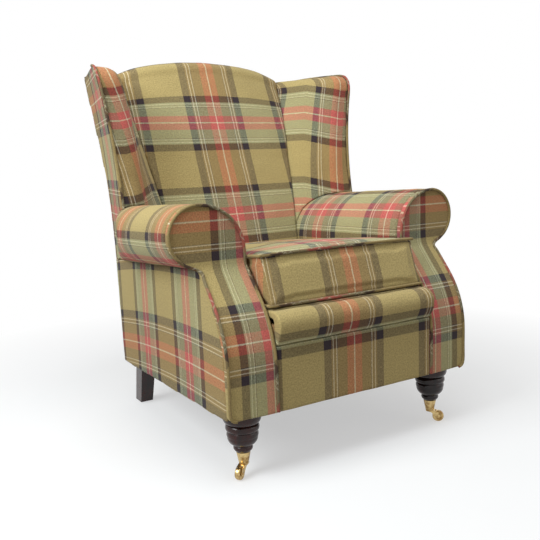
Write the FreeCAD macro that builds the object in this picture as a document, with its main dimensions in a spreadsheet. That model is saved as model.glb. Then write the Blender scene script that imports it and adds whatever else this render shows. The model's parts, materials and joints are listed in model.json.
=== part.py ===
import FreeCAD, Part
import Sketcher
import math
import os
from FreeCAD import Placement, Rotation, Vector

# Fireside chair with wings, scrolled arms, a loose box cushion and castors.
# Millimetres, +Z up, the chair faces -Y, left is -X as seen from the front.
# The origin is on the floor, under the middle of the chair's bounding box.

SIZES = [
    # Base and front
    ("frontReach", 437, "front face of the base ahead of the origin"),
    ("baseFrontHeight", 157, "underside of the base at the front"),
    ("baseSlope", 1.9, "fall of the underside towards the rear, degrees"),
    ("borderThickness", 12, "padded front border"),
    ("borderTopHeight", 309, "top of the front border at the groove"),
    ("lipReach", 454.2, "foremost point of the padded lip"),
    ("lipTopHeight", 386, "top of the padded lip"),
    ("lipDepth", 45, "padded lip, front to rear at its top"),
    ("railThickness", 25, "wooden rails of the seat frame"),
    ("railRise", 4, "rails above the underside of the base"),
    ("frontRailTop", 356, "top of the front rail"),
    ("sideRailTop", 300, "top of the side rails"),
    ("backRailTop", 304, "top of the rear seat rail"),
    ("panelThickness", 6, "padded outside panels"),
    ("panelFrontHalf", 352, "outside arm panel from the middle, at the front"),
    ("panelRearHalf", 342, "outside arm panel from the middle, at the rear"),
    # Rear curve shared by the posts, the outside back and the pads
    ("rearFootReach", 285, "rear face behind the origin, at the bottom"),
    ("rearFootHeight", 133, "height of the bottom of the rear face"),
    ("rearSeatReach", 301, "rear face where the rake begins"),
    ("rearSeatHeight", 450, "height where the rake begins"),
    ("rearMiddleReach", 324, "rear face half way through the bend"),
    ("rearMiddleHeight", 625, "height half way through the bend"),
    ("rearShoulderReach", 375, "rear face where the bend ends"),
    ("rearShoulderHeight", 800, "height where the bend ends"),
    ("rearTopReach", 442, "rear face at the top"),
    ("rearTopHeight", 980, "height of the rear reference at the top"),
    ("rearHalfLow", 341, "rear corner from the middle, low"),
    ("rearHalfTop", 355, "rear corner from the middle, at the top"),
    # Posts and upper rails
    ("postDepth", 40, "rear post, front to rear"),
    ("postInner", 300, "rear post inner face from the middle"),
    ("postWidth", 35, "rear post, side to side"),
    ("postTopHeight", 940, "top of the rear posts"),
    ("frontPostInner", 272, "front post inner face from the middle"),
    ("frontPostWidth", 54, "front post, side to side"),
    ("frontPostDepth", 60, "front post, front to rear"),
    ("frontPostSetback", 28, "front post behind the base's front face"),
    ("crestRailHeight", 40, "crest rail, top to bottom"),
    ("lowerRailBase", 335, "underside of the lower back rail"),
    ("lowerRailHeight", 45, "lower back rail, top to bottom"),
    ("backRailDepth", 26, "upper rails, front to rear"),
    ("blockSide", 50, "corner block along each rail"),
    ("blockHeight", 55, "corner block, top to bottom"),
    # Scrolled arm
    ("armFrontReach", 304, "front end of the arm roll ahead of the origin"),
    ("rollCentre", 349, "roll centre from the middle, front and rear"),
    ("rollTopHeight", 628, "top of the roll at the front"),
    ("rollRadius", 73, "outer roll at the front"),
    ("rollInnerRadius", 114, "inner shoulder at the front"),
    ("rollTopDrop", 24, "fall of the roll's top to the rear"),
    ("rollRearRadius", 78, "outer roll at the rear"),
    ("rollRearCentre", 347, "roll centre from the middle at the rear"),
    ("armInnerRear", 212.5, "inner face of the arm from the middle at the back pad"),
    ("neckAngle", 83, "roll turns this far under its centre, degrees"),
    ("armInnerFoot", 229, "inner face of the facing at the bottom"),
    ("armPadThickness", 40, "inside arm pad"),
    ("armPadBase", 330, "underside of the inside arm pad"),
    ("armPadTaperEnd", 125, "inside arm stops closing in here, behind the origin"),
    ("armRailTop", 500, "top of the arm rail at the front"),
    ("armRailFall", 33, "fall of the arm rail to the rear"),
    ("armRailHeight", 30, "arm rail, top to bottom"),
    ("armRailWidth", 69, "arm rail, side to side"),
    ("rollEndReach", 122, "roll ends against the wing's panel behind the origin"),
    ("rollEndLength", 118, "rounded rear end of the roll, front to rear"),
    ("rollEndBulge", 22, "rounded rear end out from its chord"),
    ("rollEndLap", 12, "panel of the wing beside the roll's rounded end"),
    # Facing
    ("facingThickness", 16, "padded facing board"),
    ("facingTurn", 2, "facing turned outward, degrees"),
    ("facingKneeHeight", 345, "height where upright and sloping face would meet"),
    ("facingKneeBend", 85, "half length of the long bend at the knee"),
    ("facingNeckHeight", 484, "facing slopes back up to here"),
    ("facingScrollReach", 320, "scroll face ahead of the origin"),
    ("facingBend", 16, "half length of the bend at the neck"),
    ("facingOuter", 353, "outer edge of the facing from the middle"),
    ("facingFootRadius", 16, "rounded lower outer corner of the facing"),
    ("pipingRadius", 3.5, "sewn piping"),
    # Inside back
    ("backPadBase", 330, "underside of the inside back"),
    ("backPadHalf", 212, "inside back from the middle, between the arms"),
    ("backPadLeanHeight", 490, "sides of the inside back open out from here"),
    ("backPadLean", 7.9, "sides of the inside back from upright, degrees"),
    ("backLowReach", 95, "inside back surface at its underside"),
    ("backLumbarReach", 137, "inside back surface at lumbar height"),
    ("backLumbarHeight", 520, "lumbar height"),
    ("backMiddleReach", 213, "inside back surface at the middle"),
    ("backMiddleHeight", 728, "middle height of the inside back"),
    ("backUpperReach", 258, "inside back surface at head height"),
    ("backUpperHeight", 852, "head height"),
    ("backTopReach", 316, "inside back surface under the crest"),
    ("backTopHeight", 1002, "height where the crest begins to round"),
    ("crestHeight", 1036, "top of the crest in the middle"),
    ("crestFrontReach", 352, "start of the crest's top"),
    ("crestRearDrop", 20, "rear edge of the crest below its top"),
    ("crestShoulderDrop", 17, "crest lower at two thirds of its width"),
    ("crestEndDrop", 50, "crest lower beside the wings"),
    ("backCrown", 20, "inside back fuller in the middle than at its sides"),
    ("backPadGap", 3, "room for the webbing behind the inside back"),
    ("webbingWidth", 50, "back webbing band"),
    ("webbingThickness", 2.4, "webbing"),
    ("webbingCount", 6, "bands across the back"),
    # Wings
    ("wingPanel", 5, "outside wing panel"),
    ("wingLowHeight", 590, "wing reference height above the arm"),
    ("wingLowFrontHalf", 386, "outer front edge from the middle, low"),
    ("wingLowFrontReach", 75, "front edge behind the origin, low"),
    ("wingMiddleHeight", 775, "wing reference height half way"),
    ("wingMiddleFrontHalf", 393, "outer front edge from the middle, half way"),
    ("wingMiddleFrontReach", 104, "front edge behind the origin, half way"),
    ("wingHighHeight", 940, "wing reference height near the top"),
    ("wingHighFrontHalf", 415, "outer front edge from the middle, high"),
    ("wingHighFrontReach", 118, "front edge behind the origin, high"),
    ("wingSeamFrontHalf", 364, "outside wing at the arm seam, front"),
    ("wingThickness", 80, "wing at its front border"),
    ("wingNoseRadius", 38, "inner front corner of the wing"),
    ("wingTopHeight", 985, "top of the wings"),
    ("wingTopRadius", 46, "rounded top of the wings"),
    ("wingBoardThickness", 18, "wooden wing board"),
    ("wingBoardDepth", 45, "wooden wing board, front to rear"),
    ("wingBoardSetback", 26, "wing board behind the wing's front"),
    # Seat
    ("seatFrontHeight", 391.5, "seat platform at its front edge"),
    ("seatFrontReach", 410, "reference for the seat slope"),
    ("seatSlope", 4.6, "seat falls to the rear, degrees"),
    ("platformThickness", 26, "seat platform pad"),
    ("platformSideGap", 3.5, "seat platform beside each arm"),
    ("cushionGap", 0.5, "cushion over the platform"),
    ("cushionBottomReach", 410, "front lower edge of the cushion"),
    ("cushionTopReach", 372, "front upper edge of the cushion"),
    ("cushionFrontTop", 503, "front upper edge height"),
    ("cushionRearTop", 459, "rear upper edge height"),
    ("cushionRearGap", 8.0, "cushion ahead of the inside back"),
    ("cushionSideGap", 8.2, "cushion beside each arm"),
    ("cushionCrown", 17, "fullness of the cushion's top"),
    ("cushionDrawIn", 3, "sides drawn in half way along"),
    ("cushionBow", 2, "boxing bows inward at half height"),
    ("coverThickness", 2, "cushion cover"),
    ("foamGap", 0.4, "foam inside its cover"),
    ("weltRadius", 3.2, "piping of the cushion"),
    ("weltGap", 0.3, "piping beside the seam that it covers"),
    ("weltBulge", 1.0, "piping further out where the cushion's sides are fuller"),
    ("springCount", 4, "serpentine springs"),
    ("springSpacing", 104, "serpentine springs, side to side"),
    ("springWire", 1.9, "spring wire radius"),
    ("springTurn", 20, "radius of each spring turn"),
    ("springRun", 14, "straight run between two turns"),
    ("clipLength", 20, "spring clip along the spring"),
    ("clipWidth", 34, "spring clip across the spring"),
    ("dustCover", 1.2, "black cloth under the seat"),
    # Front legs
    ("legHalf", 290, "front leg axis from the middle"),
    ("legSetback", 65, "front leg axis behind the base's front face"),
    ("legTopHeight", 154, "top of the front legs"),
    ("legPlateRadius", 43, "top plate of the front leg"),
    ("legPlateLow", 131, "underside of the top plate"),
    ("legPlateRound", 8, "rounded edge of the top plate"),
    ("legGrooveRadius", 35, "groove under the plate"),
    ("legBeadRadius", 37.5, "bead under the groove"),
    ("legBeadLow", 111, "underside of the bead"),
    ("legBulbRadius", 36, "bulb of the front leg"),
    ("legBulbHeight", 98, "widest point of the bulb"),
    ("legNeckRadius", 21, "neck under the bulb"),
    ("legNeckHeight", 77, "height of the neck"),
    ("legRingRadius", 24, "ring over the castor cup"),
    ("legRingLow", 63.5, "underside of the ring"),
    ("boltRadius", 4, "hanger bolt"),
    ("boltReach", 38, "hanger bolt into wood, each way"),
    ("boltGap", 0.2, "hanger bolt in its hole"),
    # Castors
    ("cupTopHeight", 60.5, "rim of the castor cup"),
    ("cupBottomHeight", 33, "underside of the castor cup"),
    ("cupTopRadius", 17, "castor cup at its rim"),
    ("cupBottomRadius", 11.5, "castor cup at its foot"),
    ("cupWall", 1.8, "castor cup wall"),
    ("cupFloor", 3, "castor cup floor"),
    ("padGap", 0.6, "pads clear of the wood that they cover"),
    ("fitGap", 0.25, "running clearance of pins and wood fits"),
    ("stemRadius", 4, "castor stem"),
    ("stemRise", 15, "castor stem above the cup's underside"),
    ("hornDiscRadius", 11, "swivel disc of the horn"),
    ("hornDiscHeight", 3.4, "swivel disc thickness"),
    ("hornWidth", 17.5, "horn across its cheeks"),
    ("trail", 22, "castor wheel behind its swivel axis"),
    ("wheelRadius", 15, "castor wheel"),
    ("wheelWidth", 12, "castor wheel"),
    ("wheelGap", 1.0, "wheel inside the horn, each side"),
    ("wheelCrown", 1.5, "tread edge lower than its middle"),
    ("axleRadius", 2.5, "castor axle"),
    ("axleLength", 19.5, "castor axle"),
    ("leftCastorTurn", 213.7, "left castor direction, degrees from +X"),
    ("rightCastorTurn", 316.7, "right castor direction, degrees from +X"),
    # Rear legs
    ("rearLegTop", 138.5, "top of the rear legs"),
    ("rearLegOuterTop", 322, "outer face at the top from the middle"),
    ("rearLegOuterFoot", 309, "outer face at the foot from the middle"),
    ("rearLegWidthTop", 43, "rear leg at the top, side to side"),
    ("rearLegWidthFoot", 38, "rear leg at the foot, side to side"),
    ("rearLegFrontTop", 183, "front face at the top, behind the origin"),
    ("rearLegFrontFoot", 248, "front face at the foot, behind the origin"),
    ("rearLegDepthTop", 47, "rear leg at the top, front to rear"),
    ("rearLegDepthFoot", 44, "rear leg at the foot, front to rear"),
    ("glideHeight", 2, "glide under each rear leg"),
    ("glideRadius", 10, "glide under each rear leg"),
]

doc = FreeCAD.newDocument("FiresideChair")
sheet = doc.addObject("Spreadsheet::Sheet", "Sizes")
for row, (alias, value, meaning) in enumerate(SIZES, start=1):
    sheet.set("A%d" % row, meaning)
    sheet.set("B%d" % row, str(value))
    sheet.setAlias("B%d" % row, alias)
doc.recompute()


class Dim:
    """A size with both its value and the expression that binds it to the sheet."""

    def __init__(self, value, text):
        self.value = float(value)
        self.text = text

    @staticmethod
    def of(other):
        return other if isinstance(other, Dim) else Dim(other, repr(float(other)))

    def _join(self, sign, other, value):
        return Dim(value, "(%s %s %s)" % (self.text, sign, other.text))

    def __add__(self, other):
        other = Dim.of(other)
        return self._join("+", other, self.value + other.value)

    def __sub__(self, other):
        other = Dim.of(other)
        return self._join("-", other, self.value - other.value)

    def __rsub__(self, other):
        return Dim.of(other) - self

    def __mul__(self, other):
        other = Dim.of(other)
        return self._join("*", other, self.value * other.value)

    def __truediv__(self, other):
        other = Dim.of(other)
        return self._join("/", other, self.value / other.value)

    def __neg__(self):
        return self * -1

    __radd__ = __add__
    __rmul__ = __mul__

    def __float__(self):
        return self.value


def dim(alias):
    """The named size as a Dim."""
    return Dim(sheet.get(alias), "Sizes." + alias)


def size(alias):
    """The named size as a plain number."""
    return float(sheet.get(alias))


nodes = []


def keep(obj, label):
    """Name a finished sub-part and put it on the list of nodes."""
    obj.Label = label
    nodes.append(obj)
    return obj


def solid_node(label, shape):
    """A sub-part whose solid is worked out from the sheet with Part's functions."""
    obj = doc.addObject("Part::Feature", "N_" + label)
    obj.Shape = shape
    obj.Placement = Placement()
    return keep(obj, label)


def mirrored(shape):
    return shape.mirror(Vector(0, 0, 0), Vector(1, 0, 0))


def pair_node(stem, right_shape):
    """A right-hand solid and its mirror image on the left."""
    solid_node(stem + "_right", right_shape)
    solid_node(stem + "_left", mirrored(right_shape))


def bind(obj, **expressions):
    """Bind properties to Dims, with double underscore for a dot."""
    for name, value in expressions.items():
        obj.setExpression(name.replace("__", "."), Dim.of(value).text)


def box_object(name, corner, sides):
    """A Part box with its corner and sides bound to the sheet."""
    obj = doc.addObject("Part::Box", name)
    obj.Placement = Placement()
    bind(obj, Length=sides[0], Width=sides[1], Height=sides[2])
    bind(obj, Placement__Base__x=corner[0], Placement__Base__y=corner[1])
    bind(obj, Placement__Base__z=corner[2])
    return obj


# Wires of lines and arcs

def outline(start, steps):
    """Closed wire: each step is an end point, or (middle, end) of an arc."""
    edges = []
    here = start
    for step in steps:
        if isinstance(step, tuple):
            middle, end = step
            edges.append(Part.Arc(here, middle, end).toShape())
        else:
            end = step
            edges.append(Part.LineSegment(here, end).toShape())
        here = end
    if here.distanceToPoint(start) > 1e-6:
        edges.append(Part.LineSegment(here, start).toShape())
    return Part.Wire(edges)


def prism(wire, direction):
    solid = Part.Face(wire).extrude(direction)
    return solid


def in_yz(points, x):
    """Turn (y, z) pairs into vectors in the plane at x, arcs kept as pairs."""
    turned = []
    for point in points:
        if isinstance(point[0], (tuple, list)):
            turned.append(tuple(Vector(x, p[0], p[1]) for p in point))
        else:
            turned.append(Vector(x, point[0], point[1]))
    return turned


def in_xz(points, y):
    turned = []
    for point in points:
        if isinstance(point[0], (tuple, list)):
            turned.append(tuple(Vector(p[0], y, p[1]) for p in point))
        else:
            turned.append(Vector(point[0], y, point[1]))
    return turned


def in_xy(points, z):
    turned = []
    for point in points:
        if isinstance(point[0], (tuple, list)):
            turned.append(tuple(Vector(p[0], p[1], z) for p in point))
        else:
            turned.append(Vector(point[0], point[1], z))
    return turned


def yz_prism(points, x_from, x_to, skew=0.0):
    """Prism of a (y, z) outline between two x values, sheared along y by skew."""
    places = in_yz(points, x_from)
    wire = outline(places[0], places[1:])
    run = x_to - x_from
    return prism(wire, Vector(run, run * skew, 0))


def xz_prism(points, y_from, y_to):
    places = in_xz(points, y_from)
    wire = outline(places[0], places[1:])
    return prism(wire, Vector(0, y_to - y_from, 0))


def xy_prism(points, z_from, z_to):
    places = in_xy(points, z_from)
    wire = outline(places[0], places[1:])
    return prism(wire, Vector(0, 0, z_to - z_from))


def loft(wires, ruled=False):
    solid = Part.makeLoft(wires, True, ruled)
    return solid


def block(x_from, x_to, y_from, y_to, z_from, z_to):
    corner = Vector(x_from, y_from, z_from)
    return Part.makeBox(x_to - x_from, y_to - y_from, z_to - z_from, corner)


def rounded_path(points, closed=False, most=math.inf, share=0.45):
    """Straight runs joined by tangent arcs, as large as the runs and most allow."""
    count = len(points)
    cuts = []
    for index in range(count):
        if not closed and index in (0, count - 1):
            cuts.append((points[index], points[index], points[index]))
            continue
        here = points[index]
        before = points[index - 1] - here
        after = points[(index + 1) % count] - here
        reach = min(share * min(before.Length, after.Length), most)
        start = here + before.normalize() * reach
        end = here + after.normalize() * reach
        half = before.getAngle(after) / 2
        bisector = before + after
        if bisector.Length < 1e-4:
            cuts.append((here, here, here))
            continue
        radius = reach * math.tan(half)
        centre = here + bisector.normalize() * (reach / math.cos(half))
        middle = centre + (here - centre).normalize() * radius
        cuts.append((start, middle, end))
    edges = []
    last = count if closed else count - 1
    for index in range(last):
        start, middle, end = cuts[index]
        if start.distanceToPoint(end) > 1e-6:
            edges.append(Part.Arc(start, middle, end).toShape())
        following = cuts[(index + 1) % count][0]
        if end.distanceToPoint(following) > 1e-6:
            edges.append(Part.LineSegment(end, following).toShape())
    if not closed:
        start, middle, end = cuts[-1]
    return Part.Wire(edges)


def tube(points, radius, closed=False, most=math.inf):
    """Round tube along a rounded path."""
    path = rounded_path(points, closed, most)
    first = path.Edges[0]
    at = first.valueAt(first.FirstParameter)
    heading = first.tangentAt(first.FirstParameter)
    ring = Part.Wire([Part.Circle(at, heading, radius).toShape()])
    return path.makePipeShell([ring], True, False)


# Shared curves

def base_z(y):
    """Underside of the base at y."""
    fall = math.tan(math.radians(size("baseSlope")))
    return size("baseFrontHeight") - fall * (y + size("frontReach"))


def seat_z(y):
    """Top of the seat platform at y."""
    fall = math.tan(math.radians(size("seatSlope")))
    return size("seatFrontHeight") - fall * (y + size("seatFrontReach"))


def circle_through(a, b, c):
    """Centre and radius of the circle through three (y, z) pairs."""
    arc = Part.Arc(Vector(*a, 0), Vector(*b, 0), Vector(*c, 0)).toShape().Curve
    return arc.Center, arc.Radius


REAR_FOOT = (size("rearFootReach"), size("rearFootHeight"))
REAR_SEAT = (size("rearSeatReach"), size("rearSeatHeight"))
REAR_MIDDLE = (size("rearMiddleReach"), size("rearMiddleHeight"))
REAR_SHOULDER = (size("rearShoulderReach"), size("rearShoulderHeight"))
REAR_TOP = (size("rearTopReach"), size("rearTopHeight"))


def rear_y(z):
    """Rear face of the chair at height z."""
    if z <= REAR_SEAT[1]:
        low, high = REAR_FOOT, REAR_SEAT
    elif z >= REAR_SHOULDER[1]:
        low, high = REAR_SHOULDER, REAR_TOP
    else:
        centre, radius = circle_through(REAR_SEAT, REAR_MIDDLE, REAR_SHOULDER)
        reach = math.sqrt(radius * radius - (z - centre.y) ** 2)
        return centre.x + (reach if centre.x < REAR_MIDDLE[0] else -reach)
    return low[0] + (high[0] - low[0]) * (z - low[1]) / (high[1] - low[1])


def rear_steps(z_from, z_to, inset):
    """Outline steps up or down the rear curve, moved forward by inset."""
    rising = z_to > z_from
    marks = []
    if rising:
        ordered = (REAR_SEAT, REAR_MIDDLE, REAR_SHOULDER)
    else:
        ordered = (REAR_SHOULDER, REAR_MIDDLE, REAR_SEAT)
    low, high = min(z_from, z_to), max(z_from, z_to)
    first, middle, last = ordered
    inside = [low < mark[1] < high for mark in (first, last)]
    bend_from = first if inside[0] else (rear_y(z_from), z_from)
    bend_to = last if inside[1] else (rear_y(z_to), z_to)
    if inside[0]:
        marks.append((first[0] - inset, first[1]))
    overlap = low < REAR_SHOULDER[1] and high > REAR_SEAT[1]
    if overlap:
        half_z = (bend_from[1] + bend_to[1]) / 2
        half = (rear_y(half_z) - inset, half_z)
        marks.append((half, (bend_to[0] - inset, bend_to[1])))
    if inside[1] or not overlap:
        marks.append((rear_y(z_to) - inset, z_to))
    return marks


def rear_band(z_from, z_to, outer, inner):
    """Outline in (y, z) between two copies of the rear curve."""
    points = [(rear_y(z_from) - outer, z_from)]
    points += rear_steps(z_from, z_to, outer)
    points.append((rear_y(z_to) - inner, z_to))
    points += rear_steps(z_to, z_from, inner)
    return points


def panel_x(y):
    """Outer face of the outside arm panel at y."""
    front, rear = size("panelFrontHalf"), size("panelRearHalf")
    run = size("rearFootReach") + size("frontReach")
    return front + (rear - front) * (y + size("frontReach")) / run


FACING_SKEW = math.tan(math.radians(size("facingTurn")))
FACING_RISE = size("facingNeckHeight") - size("facingKneeHeight")
FACING_LEAN = math.atan2(size("frontReach") - size("facingScrollReach"), FACING_RISE)
KNEE_RADIUS = size("facingKneeBend") / math.tan(FACING_LEAN / 2)
KNEE_START = size("facingKneeHeight") - size("facingKneeBend")


def knee_set_back(z):
    """How far the long bend at the knee has come back at height z, and its slope there."""
    rise = min(max(z - KNEE_START, 0.0), KNEE_RADIUS * math.sin(FACING_LEAN))
    return KNEE_RADIUS - math.sqrt(KNEE_RADIUS ** 2 - rise ** 2), rise / KNEE_RADIUS


def facing_profile(offset):
    """Front line of the facing in (y, z) from its foot upward, moved back by offset."""
    front = -size("frontReach") + offset
    scroll = -size("facingScrollReach") + offset
    neck = size("facingNeckHeight")
    bend = size("facingBend")
    knee_top = KNEE_START + KNEE_RADIUS * math.sin(FACING_LEAN)
    knee_middle = KNEE_START + KNEE_RADIUS * math.sin(FACING_LEAN / 2)
    knee_out = (front + knee_set_back(knee_top)[0], knee_top)
    knee_mid = (front + knee_set_back(knee_middle)[0], knee_middle)
    slope = Vector(math.sin(FACING_LEAN), math.cos(FACING_LEAN), 0)
    neck_in = (scroll - slope.x * bend, neck - slope.y * bend)
    neck_mid = (scroll - slope.x * bend * 0.26, neck + bend * 0.26 - slope.y * bend * 0.26)
    return [
        (front, KNEE_START),
        (knee_mid, knee_out),
        neck_in,
        (neck_mid, (scroll, neck + bend)),
    ]


def facing_y(x, z, offset=0.0):
    """Front surface of the right-hand facing at x and z."""
    front = -size("frontReach") + offset
    knee_top = KNEE_START + KNEE_RADIUS * math.sin(FACING_LEAN)
    beyond = min(max(z, knee_top), size("facingNeckHeight")) - knee_top
    back = knee_set_back(z)[0] + beyond * math.tan(FACING_LEAN)
    return front + back + FACING_SKEW * (x - size("armInnerFoot"))


def facing_band(offset, thickness, ahead=0.0):
    """Solid between the facing's front surface at offset and one behind it."""
    foot = size("baseFrontHeight") - 60
    crown = size("rollTopHeight") + 60
    x_from = size("armInnerFoot") - 60
    x_to = size("rollCentre") + size("rollRadius") + 60
    shift = FACING_SKEW * (x_from - size("armInnerFoot"))
    front = facing_profile(offset)
    points = [(-size("frontReach") + offset, foot)] + front
    points.append((-size("facingScrollReach") + offset, crown))
    if ahead:
        points.append((-size("frontReach") - ahead, crown))
        points.append((-size("frontReach") - ahead, foot))
    else:
        rear = facing_profile(offset + thickness)
        points.append((-size("facingScrollReach") + offset + thickness, crown))
        points.append(rear[3][1])
        points.append((rear[3][0], rear[2]))
        points.append(rear[1][1])
        points.append((rear[1][0], rear[0]))
        points.append((-size("frontReach") + offset + thickness, foot))
    moved = []
    for point in points:
        if isinstance(point[0], tuple):
            moved.append(tuple((p[0] + shift, p[1]) for p in point))
        else:
            moved.append((point[0] + shift, point[1]))
    return yz_prism(moved, x_from, x_to, FACING_SKEW)


# Scrolled arm

class ArmSection:
    """Cross-section of the right arm at one station along y."""

    def __init__(self, y, centre, top, radius, inner, foot_inner, rail_top, grow=0.0):
        self.y = y
        self.centre = centre
        self.top = top + grow
        self.radius = radius + grow
        self.inner = inner - grow
        self.foot_inner = foot_inner - grow
        self.rail_top = rail_top
        self.shoulder = self.centre - self.inner

    def at(self, angle):
        """Point of the outer roll at an angle from +X, degrees."""
        turn = math.radians(angle)
        middle = self.top - self.radius
        return (self.centre + self.radius * math.cos(turn), middle + self.radius * math.sin(turn))

    def scroll(self):
        """Steps from the inner springing over the top to the neck."""
        turn = math.radians(135)
        spring = self.top - self.shoulder
        half = (self.centre + self.shoulder * math.cos(turn),
                spring + self.shoulder * math.sin(turn))
        neck = -size("neckAngle")
        return [
            (half, (self.centre, self.top)),
            (self.at(45), self.at(0)),
            (self.at(neck / 2), self.at(neck)),
        ]

    def springing(self):
        return (self.inner, self.top - self.shoulder)

    def pad_wire(self):
        """Roll with the inside arm pad and the notch for the arm rail."""
        foot = size("armPadBase")
        outer = self.foot_inner + size("armPadThickness")
        rail_outer = outer + size("armRailWidth") + 2 * size("fitGap")
        neck = self.at(-size("neckAngle"))
        points = [self.springing()] + self.scroll()
        points += [(rail_outer, neck[1]), (rail_outer, self.rail_top)]
        points += [(outer, self.rail_top), (outer, foot), (self.foot_inner, foot)]
        places = in_xz(points, self.y)
        return outline(places[0], places[1:])

    def filled_wire(self):
        """Everything under the arm's upper surface."""
        foot = size("armPadBase")
        points = [self.springing()] + self.scroll()[:2]
        points += [(self.at(0)[0], foot), (self.inner, foot)]
        places = in_xz(points, self.y)
        return outline(places[0], places[1:])


ARM_FRONT = -size("armFrontReach") - 130
ARM_REAR = rear_y(size("rearSeatHeight")) - size("panelThickness") - size("postDepth")
INNER_SPRING = size("rollCentre") - size("rollInnerRadius")


def arm_section(y, grow=0.0):
    """The arm's section at y, between its front and rear shapes."""
    front, rear = -size("armFrontReach"), ARM_REAR
    share = (y - front) / (rear - front)
    taper = min(max((y - front) / (size("armPadTaperEnd") - front), 0.0), 1.0)
    foot = pad_face(size("armPadBase"))

    def between(a, b, amount=share):
        return a + (b - a) * amount

    return ArmSection(
        y,
        between(size("rollCentre"), size("rollRearCentre")),
        size("rollTopHeight") - share * size("rollTopDrop"),
        between(size("rollRadius"), size("rollRearRadius")),
        between(INNER_SPRING, size("armInnerRear"), taper),
        between(foot, size("armInnerRear"), taper),
        size("armRailTop") - share * size("armRailFall"),
        grow,
    )


def pad_face(z):
    """Inner face of the arm at its front end at height z."""
    foot, spring = size("armInnerFoot"), INNER_SPRING
    low, high = size("baseFrontHeight"), size("rollTopHeight") - size("rollInnerRadius")
    return foot + (spring - foot) * (z - low) / (high - low)


def arm_loft(kind, grow=0.0):
    """Arm solid in three ruled stretches: front, tapering part and rear."""
    stations = [-size("armFrontReach"), size("armPadTaperEnd"), ARM_REAR]
    wires = []
    first = arm_section(stations[0], grow)
    ahead = arm_section(stations[0], grow)
    ahead.y = ARM_FRONT
    wires.append(getattr(ahead, kind)())
    wires.append(getattr(first, kind)())
    for station in stations[1:]:
        wires.append(getattr(arm_section(station, grow), kind)())
    return loft(wires, ruled=True)


def arm_plan(grow=0.0):
    """Plan outline that rounds the roll's rear end and keeps inside the wing panel."""
    outer = size("rollCentre") + size("rollRadius") + 40
    edge = size("rollCentre") + size("rollRadius") + grow
    inner = size("rearHalfLow") - size("wingPanel") - 1 + grow
    end = size("rollEndReach") + grow
    start = end - size("rollEndLength")
    across, along = edge - inner - 10, end - start
    chord = math.hypot(across, along)
    bulge = size("rollEndBulge") / chord
    middle = (edge - across / 2 + along * bulge, start + along / 2 + across * bulge)
    return xy_prism(
        [
            (0, ARM_FRONT - 10),
            (outer, ARM_FRONT - 10),
            (outer, start),
            (edge, start),
            (middle, (inner + 10, end)),
            (inner, ARM_REAR - size("padGap")),
            (0, ARM_REAR - size("padGap")),
        ],
        0,
        size("crestHeight"),
    )


# Wings

def through(low, middle, high, z):
    """Smooth value at z through three (z, value) pairs."""
    (z0, v0), (z1, v1), (z2, v2) = low, middle, high
    return (
        v0 * (z - z1) * (z - z2) / ((z0 - z1) * (z0 - z2))
        + v1 * (z - z0) * (z - z2) / ((z1 - z0) * (z1 - z2))
        + v2 * (z - z0) * (z - z1) / ((z2 - z0) * (z2 - z1))
    )


WING_LOW = size("wingLowHeight")
WING_MIDDLE = size("wingMiddleHeight")
WING_HIGH = size("wingHighHeight")
WING_TOP = size("wingTopHeight")
shoulder_z = WING_TOP - size("wingTopRadius")
wing_levels = [
    size("backPadLeanHeight") + 10,
    WING_LOW,
    (WING_LOW + WING_MIDDLE) / 2,
    WING_MIDDLE,
    (WING_MIDDLE + WING_HIGH) / 2,
    WING_TOP - size("wingTopRadius"),
    WING_TOP - size("wingTopRadius") * 0.6,
    WING_TOP - size("wingTopRadius") * 0.3,
    WING_TOP - size("wingTopRadius") * 0.1,
    WING_TOP,
]
SEAM = size("rollTopHeight") - 2 * size("rollRadius")
SEAM_FALL = (size("rollTopDrop") + 2 * (size("rollRearRadius") - size("rollRadius")))


def seam_z(y):
    """Top edge of the outside arm panel, where it meets the roll."""
    share = (y + size("armFrontReach")) / (ARM_REAR + size("armFrontReach"))
    return SEAM - share * SEAM_FALL


def wing_front(z):
    """Outer front edge of the right wing at z as (x, y), before the top rounds."""
    names = ("Low", "Middle", "High")
    heights = (WING_LOW, WING_MIDDLE, WING_HIGH)
    halves = [(h, size("wing%sFrontHalf" % n)) for n, h in zip(names, heights)]
    reaches = [(h, size("wing%sFrontReach" % n)) for n, h in zip(names, heights)]
    if z < WING_LOW:
        share = (WING_LOW - z) / (WING_LOW - seam_z(size("rollEndReach")))
        spread = size("wingSeamFrontHalf") - size("wingLowFrontHalf")
        return (size("wingLowFrontHalf") + spread * share, size("wingLowFrontReach"))
    return (through(*halves, z), through(*reaches, z))


def wing_rear_x(z):
    """Outer rear corner of the wing at z."""
    low, high = size("rearHalfLow"), size("rearHalfTop")
    share = min(max((z - WING_LOW) / (WING_TOP - WING_LOW), 0.0), 1.0)
    return low + (high - low) * share * share


def top_inset(z):
    """How far the wing's top has rounded in at height z."""
    radius = size("wingTopRadius")
    rise = z - (WING_TOP - radius)
    if rise <= 0:
        return 0.0
    return radius - math.sqrt(max(radius * radius - rise * rise, 0.0))


def pad_side(z):
    """Side of the inside back from the middle at z."""
    lean = math.tan(math.radians(size("backPadLean")))
    return size("backPadHalf") + lean * max(z - size("backPadLeanHeight"), 0.0)


def wing_outer(z, inward):
    """Outer rear and front corners of the wing at z, moved inward."""
    rear_x, rear = wing_rear_x(z), rear_y(z) - size("panelThickness") - size("padGap")
    front_x, front = wing_front(z)
    inset = top_inset(z)
    share = inset / (rear - front)
    nose = (front_x + (rear_x - front_x) * share - inward, front + inset)
    return (rear_x - inward, rear), nose


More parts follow.
